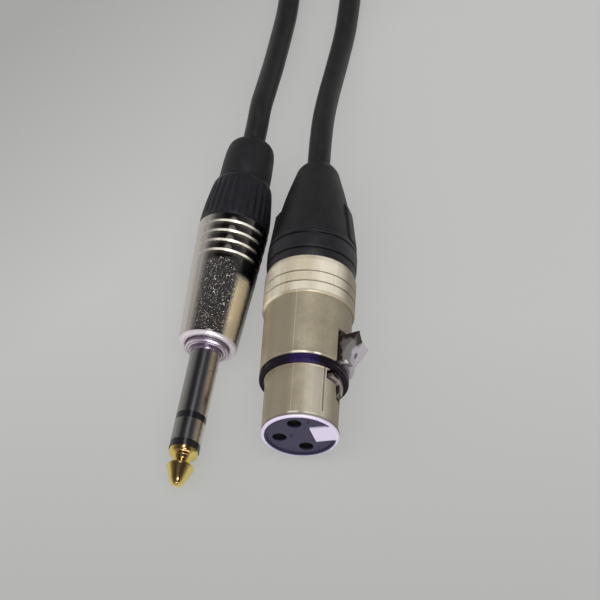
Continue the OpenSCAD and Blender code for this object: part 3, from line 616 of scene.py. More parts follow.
@dataclass(frozen=True, kw_only=True)
class BandedPlate(TurnedMetal):
    """Bright turned plate with a band of painted dark reflection and a painted bright or dark spine
    along its upper side.

    The shade is the colour of a reflection painted along its right side. A collar, where it has
    one, is painted pale as lit by the front lamp and has rings on its face.
    """

    # The colours of the painted dark reflection in the band and of the painted spine
    deep: Colour
    spine: Colour
    spine_width: float = 0.16
    band: Pair = (0.35, 0.75)
    right_from: Pair = (0.35, 0.6)
    collar_from: float | None = None
    # The collar's face is painted pale as lit by the front lamp, with dark rings
    collar: Colour = (0.92, 0.84, 0.93)
    collar_ring: Colour = (0.10, 0.07, 0.13)
    ring_rate: float = 12.5

    def tone(self, sheet: NodeSheet, smudge: Socket) -> Socket:
        """Colours the plate by the angle round it, with its reflections painted in.

        Args:
            sheet: The material's nodes.
            smudge: The noise of its smudges, which leave the colour alone.

        Returns:
            The socket of the colour.
        """
        turned_by = sheet.less(sheet.angle, UPWARDS)
        off_top = sheet.maths("ABSOLUTE", turned_by)
        base = sheet.layered(
            self.colour,
            # painted reflection along the right side
            (sheet.rises(turned_by, *self.right_from), self.shade),
            # painted dark reflection in a band along the top
            (sheet.falls(off_top, *self.band), self.deep),
            # painted bright or dark reflection along the spine
            (sheet.line(off_top, 0.0, self.spine_width), self.spine),
        )
        if self.collar_from is None:
            return base
        on_collar = sheet.rises(sheet.z, self.collar_from, self.collar_from + 0.1)
        ripple = sheet.maths("SINE", sheet.times(sheet.distance(sheet.x, sheet.y), self.ring_rate))
        dark = sheet.times(sheet.rises(ripple, 0.35, 0.7, 0.75), on_collar)
        # the collar's face is painted pale as lit by the front lamp, with dark rings on it
        return sheet.layered(base, (on_collar, self.collar), (dark, self.collar_ring))


@dataclass(frozen=True)
class LatchPlate:
    """Bright plate on the latch, with a painted dark reflection on its flank, dark at its rear,
    painted shade in its hollow, a painted dark spot and a painted highlight on its tab, and dark
    mottled tones on the hook.

    A spot is its station, its distance from the latch's middle and its radius.
    """

    pale: Colour = (0.66, 0.615, 0.67)
    # The next colours are painted shade in the hollow, a painted dark reflection that also darkens
    # the hook, the hook's own tone and a painted dark spot
    hollow: Colour = (0.26, 0.245, 0.24)
    dark: Colour = (0.050, 0.036, 0.030)
    hook: Colour = (0.46, 0.39, 0.36)
    dent: Colour = (0.20, 0.17, 0.24)
    dent_at: Point = (19.0, 1.2, 0.75)
    glint_at: Point = (15.2, -2.6, 0.6)
    tab_from: float = 14.0
    hollow_to: Pair = (-1.5, -0.8)
    flank: float = -3.65
    flank_top: Pair = (8.6, 9.3)
    rear_from: Pair = (19.9, 20.6)
    rear_side: Pair = (-0.4, 0.4)

    def make(self) -> bpy.types.Material:
        """Makes the material.

        Returns:
            The material.
        """
        sheet = NodeSheet("latch_plate", SOCKET_PLACE)
        wave = sheet.times(sheet.less(sheet.noise(0.6, 2.0), 0.5), 3.0)
        height, across, station = (sheet.total(part, wave) for part in (sheet.x, sheet.y, sheet.z))
        on_flank = sheet.maths("LESS_THAN", sheet.y, self.flank)
        low = sheet.times(sheet.falls(height, *self.flank_top), on_flank)
        rear = sheet.times(
            sheet.rises(station, *self.rear_from), sheet.falls(sheet.y, *self.rear_side)
        )
        # the hook is dark and mottled
        hook = sheet.blend(sheet.rises(sheet.noise(0.5, 1.0), 0.40, 0.56), self.dark, self.hook)
        tab = sheet.layered(
            self.pale,
            # painted shade in the hollow
            (sheet.falls(across, *self.hollow_to), self.hollow),
            # painted dark reflection on the flank, and dark at the rear
            (sheet.most(low, rear), self.dark),
            # painted dark reflection in a spot on the tab
            (self.spot(sheet, *self.dent_at), self.dent),
            # painted highlight on the tab
            (self.spot(sheet, *self.glint_at), WHITE),
        )
        on_tab = sheet.rises(sheet.z, self.tab_from, self.tab_from + 0.1)
        return sheet.finish(
            Base_Color=sheet.blend(on_tab, hook, tab),
            Metallic=0.7,
            Roughness=sheet.span(sheet.noise(0.5), 0.35, 0.7, (0.16, 0.26)),
            Normal=sheet.relief(sheet.noise(1.5, 3.0), 0.004),
        )

    def spot(self, sheet: NodeSheet, station: float, across: float, radius: float) -> Socket:
        """Places a small round spot on the latch.

        Args:
            sheet: The material's nodes.
            station: The spot's distance behind the front.
            across: Its distance from the latch's middle.
            radius: Its radius.

        Returns:
            The share of the spot's colour.
        """
        off = sheet.distance(sheet.less(sheet.z, station), sheet.less(sheet.y, across))
        return sheet.falls(off, radius * 0.6, radius)


@dataclass(frozen=True)
class Moulding:
    """Moulded plastic or rubber, with a fine grain and small rubbed marks.

    It may have lines of painted shade round it at some stations, a painted highlight along its
    crown, and a face with inked figures just proud of it and painted black shade in the depths
    behind it.
    """

    name: str
    colour: Colour
    rubbed: Colour
    roughness: Pair
    grain: float = 5.0
    depth: float = 0.006
    coat: float = 0.0
    specular: float = 0.5
    specular_tint: Colour = WHITE
    place: Place = TABLE_PLACE
    # Painted black shade behind the face, the ink of its figures, a painted highlight along the
    # crown and lines of painted shade
    deep_from: float | None = None
    ink: Colour = (0.010, 0.008, 0.026)
    crown: Colour | None = None
    crown_at: Pair = (math.radians(-74.0), 0.42)
    lines: tuple[float, ...] = ()
    line_colour: Colour = (0.001, 0.001, 0.002)

    def make(self) -> bpy.types.Material:
        """Makes the material.

        Returns:
            The material.
        """
        sheet = NodeSheet(self.name, self.place)
        rub = sheet.noise(0.45, 5.0)
        layers = [(sheet.rises(rub, 0.48, 0.75), self.rubbed)]
        if self.deep_from is not None:
            deep, face = self.deep_from, self.deep_from - 0.07
            # painted black shade in the depths behind the face
            layers.append((sheet.rises(sheet.z, deep, deep + 0.4, 0.9), BLACK))
            layers.append((sheet.falls(sheet.z, face, face + 0.03, 0.8), self.ink))
        if self.crown is not None:
            # painted highlight along the crown
            layers.append((sheet.line(sheet.angle, *self.crown_at), self.crown))
        # lines of painted shade round it
        layers += [(sheet.line(sheet.z, line, 0.42), self.line_colour) for line in self.lines]
        return sheet.finish(
            Base_Color=sheet.layered(self.colour, *layers),
            Roughness=sheet.span(rub, 0.3, 0.7, self.roughness),
            Specular_IOR_Level=self.specular,
            Specular_Tint=self.specular_tint,
            Coat_Weight=self.coat,
            Coat_Roughness=0.08,
            Normal=sheet.relief(sheet.noise(self.grain, 3.0), self.depth),
        )


@dataclass(frozen=True)
class HookAndLoop:
    """Brushed loops of a black hook-and-loop strap."""

    colour: Colour = (0.018, 0.018, 0.020)
    fluff: Colour = (0.060, 0.060, 0.066)
    sheen: Colour = (0.5, 0.5, 0.55)

    def make(self) -> bpy.types.Material:
        """Makes the material.

        Returns:
            The material.
        """
        sheet = NodeSheet("hook_and_loop")
        hairs = sheet.noise(5.0, 4.0)
        height = sheet.total(sheet.cells(2.6).outputs["Distance"], sheet.times(hairs, 0.8))
        return sheet.finish(
            Base_Color=sheet.blend(sheet.rises(hairs, 0.45, 0.75), self.colour, self.fluff),
            Roughness=0.9,
            Normal=sheet.relief(height, 0.12),
            Sheen_Weight=0.5,
            Sheen_Roughness=0.4,
            Sheen_Tint=self.sheen,
        )


@dataclass(frozen=True)
class CoreInsulation:
    """Coloured insulation of the cores: one colour for each, by its side of the axis."""

    pale: Colour = (0.78, 0.77, 0.74)
    red: Colour = (0.56, 0.06, 0.05)
    black: Colour = (0.03, 0.03, 0.03)
    middle: float = 0.6

    def make(self) -> bpy.types.Material:
        """Makes the material.

        Returns:
            The material.
        """
        sheet = NodeSheet("core_insulation", SOCKET_PLACE)
        base = sheet.layered(
            self.pale,
            (sheet.maths("GREATER_THAN", sheet.y, self.middle), self.red),
            (sheet.maths("LESS_THAN", sheet.y, -self.middle), self.black),
        )
        rough = sheet.span(sheet.noise(1.2), 0.3, 0.7, (0.35, 0.5))
        return sheet.finish(Base_Color=base, Roughness=rough)


class Finishes:
    """All the finishes of the lead, one for each material slot."""

    def __init__(self) -> None:
        """Makes the materials."""
        black_grain = {"grain": 4.5, "depth": 0.008}
        glossy_grain = {"grain": 2.0, "depth": 0.002}
        makers = {
            Slot.SHELL: SatinNickel(),
            # Painted black shade fills the depths behind the insert's face
            Slot.INSERT: Moulding(
                "insert_plastic", (0.037, 0.034, 0.070), (0.045, 0.041, 0.082), (0.42, 0.52),
                place=SOCKET_PLACE, deep_from=0.4,
            ),
            # The contacts' gold is painted dark, as painted shade in their holes
            Slot.CONTACT: TurnedMetal(
                "contact_plate", (0.20, 0.15, 0.08), (0.12, 0.09, 0.05), (0.3, 0.45), SOCKET_PLACE
            ),
            # The ring's crown colour is a painted highlight
            Slot.RING: Moulding(
                "ring_gloss", (0.006, 0.005, 0.008), (0.009, 0.008, 0.012), (0.10, 0.16),
                specular=0.13, specular_tint=(0.92, 0.88, 1.0), place=SOCKET_PLACE,
                crown=(0.018, 0.010, 0.062), **glossy_grain,
            ),
            Slot.LATCH: LatchPlate(),
            Slot.SPRING: TurnedMetal(
                "spring_steel", (0.60, 0.60, 0.61), (0.45, 0.45, 0.46), (0.2, 0.3), SOCKET_PLACE
            ),
            Slot.CHUCK: Moulding(
                "chuck_plastic", (0.62, 0.60, 0.54), (0.54, 0.52, 0.46), (0.4, 0.5)
            ),
            # The bushing's lines are painted shade in its grooves
            Slot.BUSHING: Moulding(
                "bushing_plastic", (0.0115, 0.011, 0.0142), (0.017, 0.016, 0.0202), (0.36, 0.46),
                place=SOCKET_PLACE, lines=(40.85, 44.80), **black_grain,
            ),
            Slot.BOOT: Moulding(
                "boot_rubber", (0.009, 0.009, 0.0105), (0.015, 0.0155, 0.017), (0.42, 0.54),
                **black_grain,
            ),
            Slot.WIRE: CoreInsulation(),
            Slot.JACKET: Moulding(
                "cable_jacket", (0.011, 0.0115, 0.012), (0.018, 0.019, 0.019), (0.34, 0.44),
                grain=3.0, depth=0.010,
            ),
            # The tip's shade, band and spine colours are painted reflections
            Slot.TIP: BandedPlate(
                "gold_plate", (1.0, 0.80, 0.22), (1.0, 0.82, 0.26), deep=(0.44, 0.27, 0.11),
                spine=(0.92, 0.68, 0.30), band=(0.5, 0.88),
            ),
            Slot.WASHER: Moulding(
                "washer_plastic", (0.006, 0.006, 0.008), (0.012, 0.012, 0.015), (0.14, 0.24),
                coat=0.3, **glossy_grain,
            ),
            # The shaft's bright right side is a painted reflection, its band and dark spine are
            # painted darker, and its collar is painted pale as lit
            Slot.SHAFT: BandedPlate(
                "shaft_plate", (0.37, 0.36, 0.335), (0.86, 0.79, 0.70), (0.27, 0.33),
                deep=(0.35, 0.34, 0.325), spine=(0.12, 0.119, 0.12), spine_width=0.5,
                collar_from=30.6,
            ),
            Slot.LUG: TurnedMetal("tinned_lug", (0.66, 0.64, 0.58), (0.5, 0.48, 0.43), (0.25, 0.4)),
            Slot.INNER_TUBE: Moulding(
                "inner_tube", (0.55, 0.53, 0.47), (0.48, 0.46, 0.40), (0.4, 0.5)
            ),
            Slot.BARREL: SparklingChrome(),
            Slot.CAP: Moulding(
                "cap_plastic", (0.008, 0.008, 0.0115), (0.013, 0.013, 0.017), (0.38, 0.48),
                **black_grain,
            ),
            Slot.TIE: HookAndLoop(),
        }
        self.by_slot = {slot: maker.make() for slot, maker in makers.items()}

    def dress_frame(self) -> None:
        """Gives every construction node the finish of its slot in the record."""
        slots = {row["node"]: row["material_slot"] for row in frame["record"]["subparts"]}
        for name, node in frame["nodes"].items():
            material = self.by_slot[Slot(slots[name])]
            if not node.material_slots:
                node.data.materials.append(material)
            for place in node.material_slots:
                place.material = material
            LOG.info("node %s: %s", name, material.name)


# ------------------------------------------------------------------ making pieces


def linked(name: str, data: bpy.types.ID) -> bpy.types.Object:
    """Makes an object of some data and puts it in the scene.

    Args:
        name: The object's name.
        data: Its mesh, curve, lamp or camera.

    Returns:
        The new object.
    """
    item = bpy.data.objects.new(name, data)
    bpy.context.scene.collection.objects.link(item)
    return item


def mesh_data(name: str, mesh: bmesh.types.BMesh) -> bpy.types.Mesh:
    """Turns a bmesh into a mesh, and frees it.

    Args:
        name: The mesh's name.
        mesh: The bmesh.

    Returns:
        The new mesh.
    """
    data = bpy.data.meshes.new(name)
    mesh.to_mesh(data)
    mesh.free()
    return data


def merged(*meshes: bmesh.types.BMesh) -> bmesh.types.BMesh:
    """Puts several meshes into one.

    Args:
        *meshes: The meshes, which are freed.

    Returns:
        The whole mesh.
    """
    whole = bmesh.new()
    for mesh in meshes:
        data = mesh_data("part", mesh)
        whole.from_mesh(data)
        bpy.data.meshes.remove(data)
    return whole


def rounded(corners: Sequence[Corner], steps: int = 5) -> list[Pair]:
    """Rounds the corners of an outline.

    Args:
        corners: Each corner's radius from the axis, its station and how far its rounding reaches.
        steps: The pieces of each rounding.

    Returns:
        The outline's points as radius and station.
    """
    points = [Vector(corner[:2]) for corner in corners]
    out: list[Pair] = []
    for index, (corner, point) in enumerate(zip(corners, points)):
        if corner[2] <= 0 or index in (0, len(points) - 1):
            out.append((point.x, point.y))
            continue
        before, after = points[index - 1] - point, points[index + 1] - point
        reach = min(corner[2], before.length * 0.5, after.length * 0.5)
        first, last = point + before.normalized() * reach, point + after.normalized() * reach
        for step in range(steps + 1):
            t = step / steps
            spot = first * (1 - t) ** 2 + point * 2 * t * (1 - t) + last * t**2
            out.append((spot.x, spot.y))
    return out


def turned(
    corners: Sequence[Corner], steps: int = 96, arc: int = 5, closed: bool = True
) -> bmesh.types.BMesh:
    """Rounds an outline's corners and spins it round the connector's axis.

    Args:
        corners: The corners, as for rounded.
        steps: The pieces of the full turn.
        arc: The pieces of each rounding.
        closed: Whether the last point joins the first.

    Returns:
        The mesh in millimetres.
    """
    mesh = bmesh.new()
    verts = [mesh.verts.new((radius, 0.0, station)) for radius, station in rounded(corners, arc)]
    pairs = list(zip(verts, verts[1:]))
    if closed:
        pairs.append((verts[-1], verts[0]))
    edges = [mesh.edges.new(pair) for pair in pairs]
    bmesh.ops.spin(
        mesh, geom=[*verts, *edges], cent=(0, 0, 0), axis=(0, 0, 1), angle=math.tau, steps=steps,
        use_merge=True, use_duplicate=False,
    )
    bmesh.ops.remove_doubles(mesh, verts=mesh.verts, dist=0.002)
    return mesh


def block(low: Point, high: Point, cuts: int = 0) -> bmesh.types.BMesh:
    """Makes a box between two corners.

    Args:
        low: The lowest corner in millimetres.
        high: The highest corner in millimetres.
        cuts: The cuts of each edge, for a box that is bent later.

    Returns:
        The box's mesh.
    """
    low_v, high_v = Vector(low), Vector(high)
    mesh = bmesh.new()
    matrix = Matrix.Translation((low_v + high_v) / 2) @ Matrix.Diagonal((*(high_v - low_v), 1.0))
    bmesh.ops.create_cube(mesh, size=1.0, matrix=matrix)
    if cuts:
        bmesh.ops.subdivide_edges(mesh, edges=list(mesh.edges), cuts=cuts, use_grid_fill=True)
    return mesh


@dataclass
class Maker:
    """Turns finished meshes into pieces of the part."""

    finishes: Finishes
    count: int = 0

    def piece(
        self,
        mesh: bmesh.types.BMesh,
        name: str,
        slot: Slot,
        place: Place,
        nodes: Sequence[str] = (),
        body: Body = Body.LEAD,
        bevel: float = 0.0,
        smooth_angle: float = 40.0,
    ) -> bpy.types.Object:
        """Places a mesh in the part and makes a piece of it.

        Args:
            mesh: The shape in its connector's own millimetres. It is freed.
            name: The piece's name.
            slot: The material slot that it takes its finish from.
            place: Where the connector lies.
            nodes: The construction nodes that the piece stands for.
            body: The body that it rides on.
            bevel: The rounding of its hard edges in millimetres, or 0.
            smooth_angle: The least angle of an edge that stays sharp, in degrees.

        Returns:
            The new object.
        """
        bmesh.ops.transform(mesh, matrix=place.matrix(), verts=mesh.verts)
        bmesh.ops.remove_doubles(mesh, verts=mesh.verts, dist=0.002 * MM)
        bmesh.ops.recalc_face_normals(mesh, faces=mesh.faces)
        data = mesh_data(name, mesh)
        data.shade_smooth()
        data.set_sharp_from_angle(angle=math.radians(smooth_angle))
        item = linked(name, data)
        if bevel:
            rounding = item.modifiers.new("rounding", "BEVEL")
            rounding.width = bevel * MM
            rounding.segments = 3
            rounding.limit_method = "ANGLE"
            rounding.angle_limit = math.radians(smooth_angle)
            rounding.harden_normals = True
        return self.join(item, slot, nodes, body)

    def join(
        self, item: bpy.types.Object, slot: Slot, nodes: Sequence[str], body: Body
    ) -> bpy.types.Object:
        """Dresses an object, makes it a piece of the part and reports it.

        Args:
            item: The object, already in its place.
            slot: The material slot that it takes its finish from.
            nodes: The construction nodes that it stands for.
            body: The body that it rides on.

        Returns:
            The same object.
        """
        item.data.materials.append(self.finishes.by_slot[slot])
        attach(item, body.value)
        if nodes:
            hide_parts(*nodes)
        self.count += 1
        LOG.info("piece %s on %s for %s", item.name, body.value, ", ".join(nodes) or "no node")
        return item


# ------------------------------------------------------------------ socket connector


@dataclass
class SocketConnector:
    """The three-pole socket connector: its ring, latch, bushing, boot and socket numbers.

    A wing of the boot slopes inwards by its fall on the key's side, and by the lesser fall across.
    """

    maker: Maker
    gap: float = 0.05
    ring_z: float = 12.5
    ring_w: float = 2.0
    ring_r: float = 9.3
    ring_waist: float = 0.16
    ring_edge: float = 0.55
    seat_r: float = 8.2
    thread_r: float = 8.35
    thread_bore: float = 7.35
    shell_end: float = 38.7
    collar_r: float = 9.6
    collar_end: float = 46.6
    tail_end: float = 54.1
    length: float = 68.5
    boot_front_r: float = 9.0
    boot_end_r: float = 4.7
    grip_r: float = 2.55
    wing_w: float = 5.0
    wing_len: float = 10.2
    wing_r: float = 9.42
    wing_fall: float = 1.5
    wing_lesser_fall: float = 1.05
    wing_end_r: float = 7.6
    wing_root_r: float = 6.6
    wing_root_fall: float = 1.4
    number_height: float = 1.35
    number_station: float = 0.33
    number_depth: float = 0.05
    number_spots: tuple[Pair, ...] = ((2.6, 5.0), (-1.84, -0.11), (2.95, -4.46))

    def build(self) -> None:
        """Builds all its pieces."""
        self.ring()
        self.bushing()
        self.boot()
        self.numbers()
        Latch(self.maker).build()

    def ring(self) -> None:
        """Builds the glossy ring between the nose and the body, with a shallow waist."""
        front, back = self.ring_z + self.gap, self.ring_z + self.ring_w - self.gap
        seat, side, crest = self.seat_r + self.gap, self.ring_r - 0.1, self.ring_r + 0.02
        corners = [
            (seat, front, 0.0), (side, front, self.ring_edge), (crest, front + self.ring_edge, 0.3),
            (self.ring_r - self.ring_waist, (front + back) / 2, 0.35),
            (crest, back - self.ring_edge, 0.3), (side, back, self.ring_edge), (seat, back, 0.0),
        ]
        self.maker.piece(turned(corners, 128), "ring_glossy", Slot.RING, SOCKET_PLACE, ["xlr_ring"])

    def bushing(self) -> None:
        """Builds the threaded bushing, whose collar with two grooves shows behind the shell."""
        front, end = self.shell_end, self.collar_end
        corners = [
            (self.thread_bore, 29.7, 0.0), (self.thread_r, 29.7, 0.3), (self.thread_r, front, 0.0),
            (9.3, front, 0.15), (9.52, front + 1.85, 0.12),
            (9.12, front + 2.05, 0.08), (9.12, front + 2.25, 0.08),
            (self.collar_r, front + 2.45, 0.15), (self.collar_r, front + 5.75, 0.15),
            (9.15, front + 5.95, 0.08), (9.15, front + 6.2, 0.08),
            (9.5, front + 6.4, 0.12), (9.42, front + 7.35, 0.12),
            (9.05, front + 7.55, 0.08), (9.05, end, 0.0), (7.55, end, 0.0),
            (6.1, self.tail_end, 0.0), (4.9, self.tail_end, 0.0), (4.55, self.tail_end - 2, 0.0),
            (self.thread_bore, front + 2.0, 0.0),
        ]
        mesh = turned(corners, 128, 4)
        self.maker.piece(mesh, "bushing_collar", Slot.BUSHING, SOCKET_PLACE, ["xlr_bushing"])

    def boot(self) -> None:
        """Builds the tapered rubber boot with its two raised wings."""
        front, end, inner = self.collar_end, self.length, self.tail_end + 0.1
        corners = [
            (7.7, front, 0.0), (self.boot_front_r, front, 0.25), (8.65, front + 2.6, 2.0),
            (7.55, front + 9.0, 5.0), (6.35, front + 14.2, 4.0),
            (self.boot_end_r + 0.45, end - 3.6, 2.2), (self.boot_end_r - 0.1, end - 1.5, 1.3),
            (self.boot_end_r - 1.25, end, 0.9), (self.grip_r, end, 0.0),
            (self.grip_r, inner, 0.0), (6.2, inner, 0.0),
        ]
        mesh = merged(turned(corners, 96, 6), self.wing(1), self.wing(-1))
        self.maker.piece(
            mesh, "boot_tapered", Slot.BOOT, SOCKET_PLACE, ["xlr_boot"], bevel=0.25, smooth_angle=50
        )

    def wing(self, side: int) -> bmesh.types.BMesh:
        """Makes one wing of the boot.

        Args:
            side: 1 for the key's side, and -1 for the side across from it.

        Returns:
            The wing's mesh.
        """
        front, half = self.collar_end + self.gap, self.wing_w / 2
        fall = self.wing_fall if side > 0 else self.wing_lesser_fall
        mesh = block((0.0, -half, front), (1.0, half, front + self.wing_len), 5)
        for vert in mesh.verts:
            along, raised = (vert.co.z - front) / self.wing_len, vert.co.x
            outer = self.wing_r - fall * along
            if along > 0.99:
                outer, vert.co.z = self.wing_end_r, vert.co.z - 0.6 * raised + 0.3
            inner = self.wing_root_r - self.wing_root_fall * along
            vert.co.x = inner + (outer - inner) * raised - raised * vert.co.y**2 / (2.4 * outer)
            vert.co.y *= 1.0 - 0.1 * along
        turn = Matrix.Rotation(math.pi * (side < 0), 3, "Z")
        bmesh.ops.rotate(mesh, verts=mesh.verts, matrix=turn)
        return mesh

    def numbers(self) -> None:
        """Raises the socket numbers on the insert's face, with their heads to the top."""
        for number, (x, y) in enumerate(self.number_spots, 1):
            curve = bpy.data.curves.new(f"number_{number}", "FONT")
            curve.body = str(number)
            curve.size = self.number_height * MM
            curve.extrude = self.number_depth * MM
            curve.align_x = curve.align_y = "CENTER"
            item = linked("number_text", curve)
            bpy.context.view_layer.update()
            solid = item.evaluated_get(bpy.context.evaluated_depsgraph_get())
            mesh = bmesh.new()
            mesh.from_mesh(solid.to_mesh())
            solid.to_mesh_clear()
            bpy.data.objects.remove(item)
            stand = (
                Matrix.Translation((x, y, self.number_station))
                @ Matrix.Rotation(math.radians(SOCKET_PLACE.roll), 4, "Z")
                @ Matrix.Rotation(math.pi, 4, "X")
                @ Matrix.Scale(1 / MM, 4)
            )
            bmesh.ops.transform(mesh, matrix=stand, verts=mesh.verts)
            self.maker.piece(mesh, f"socket_number_{number}", Slot.INSERT, SOCKET_PLACE)


@dataclass
class Latch:
    """The push latch: a lever under the ring with a hook in front and a hollowed thumb tab.

    Heights are from the connector's axis.
    """

    maker: Maker
    lever_low: float = 6.1
    lever_top: float = 7.15
    lever_w: float = 6.0
    hook_front: float = 8.1
    hook_back: float = 12.2
    hook_step: float = 2.9
    hook_top: float = 8.2
    nose_w: float = 3.0
    nose_top: float = 7.55
    nose_rise: float = 0.5
    nose_point: float = 0.53
    tab_front: float = 15.1
    tab_back: float = 21.9
    tab_w: float = 7.6
    tab_top: float = 10.6
    tab_hollow: float = 0.5
    tab_lip: float = 1.6
    tab_bow: float = 0.5
    tab_lean: float = 1.3
    pivot_h: float = 6.7
    pivot_z: float = 25.0
    eye_r: float = 1.15

    def build(self) -> None:
        """Builds the latch as one piece."""
        self.maker.piece(
            merged(self.lever(), self.eye(), self.hook(), self.tab()), "latch_push", Slot.LATCH,
            SOCKET_PLACE, ["xlr_latch"], Body.LATCH, bevel=0.12, smooth_angle=35,
        )

    def lever(self) -> bmesh.types.BMesh:
        """Makes the flat lever.

        Returns:
            Its mesh.
        """
        half = self.lever_w / 2
        front = self.hook_front + self.hook_step + 0.1
        return block((self.lever_low, -half, front), (self.lever_top, half, self.pivot_z))

    def eye(self) -> bmesh.types.BMesh:
        """Makes the round hinge eye at the lever's back end.

        Returns:
            Its mesh.
        """
        mesh = bmesh.new()
        place = Matrix.Translation((self.pivot_h, 0, self.pivot_z))
        bmesh.ops.create_cone(
            mesh, cap_ends=True, segments=32, radius1=self.eye_r, radius2=self.eye_r,
            depth=self.lever_w, matrix=place @ Matrix.Rotation(math.radians(90), 4, "X"),
        )
        return mesh

    def hook(self) -> bmesh.types.BMesh:
        """Makes the hook: a crowned block at the ring, with a nose that falls to its point.

        Returns:
            Its mesh.
        """
        step, half, aside = self.hook_front + self.hook_step, self.tab_w / 2, self.nose_w / 2
        nose = block((0.0, -aside, self.hook_front), (1.0, aside, step + 0.1), 5)
        for vert in nose.verts:
            share = min((vert.co.z - self.hook_front) / self.hook_step, 1.0)
            vert.co.y *= self.nose_point + (1.0 - self.nose_point) * share
            top = self.nose_top + self.nose_rise * min(2.0 * share, 1.0)
            vert.co.x = self.lever_low + (top - self.lever_low) * vert.co.x
        whole = merged(nose, block((0.0, -half, step), (1.0, half, self.hook_back), 7))
        for vert in whole.verts:
            if vert.co.z < step or vert.co.x > 1.0:
                continue
            crown = self.hook_top - math.sqrt(self.hook_top**2 - vert.co.y**2)
            vert.co.x = self.lever_low + (self.hook_top - self.lever_low - crown) * vert.co.x
        return whole

    def tab(self) -> bmesh.types.BMesh:
        """Makes the thumb tab, hollowed along and across, which rises to its rear lip.

        Returns:
            Its mesh.
        """
        half = self.tab_w / 2
        mesh = block((0.0, -half, self.tab_front), (1.0, half, self.tab_back), 13)
        for vert in mesh.verts:
            along = (vert.co.z - self.tab_front) / (self.tab_back - self.tab_front)
            across, raised = abs(vert.co.y) / half, vert.co.x
            hollow = self.tab_hollow * math.sin(math.pi * min(along / 0.75, 1.0))
            lip = self.tab_lip * (max(along - 0.5, 0.0) / 0.5) ** 1.6
            fall = max(1.8 - 3.6 * along, -0.35) * max(across - 0.1, 0.0) ** 1.3
            top = self.tab_top - hollow + lip - fall
            vert.co.x = self.lever_low + (top - self.lever_low) * raised
            vert.co.z -= self.tab_lean * (1.0 - raised) * along**4
            vert.co.z -= self.tab_bow * raised * (1.0 - across**2) * along**6
        return mesh


# ------------------------------------------------------------------ jack plug


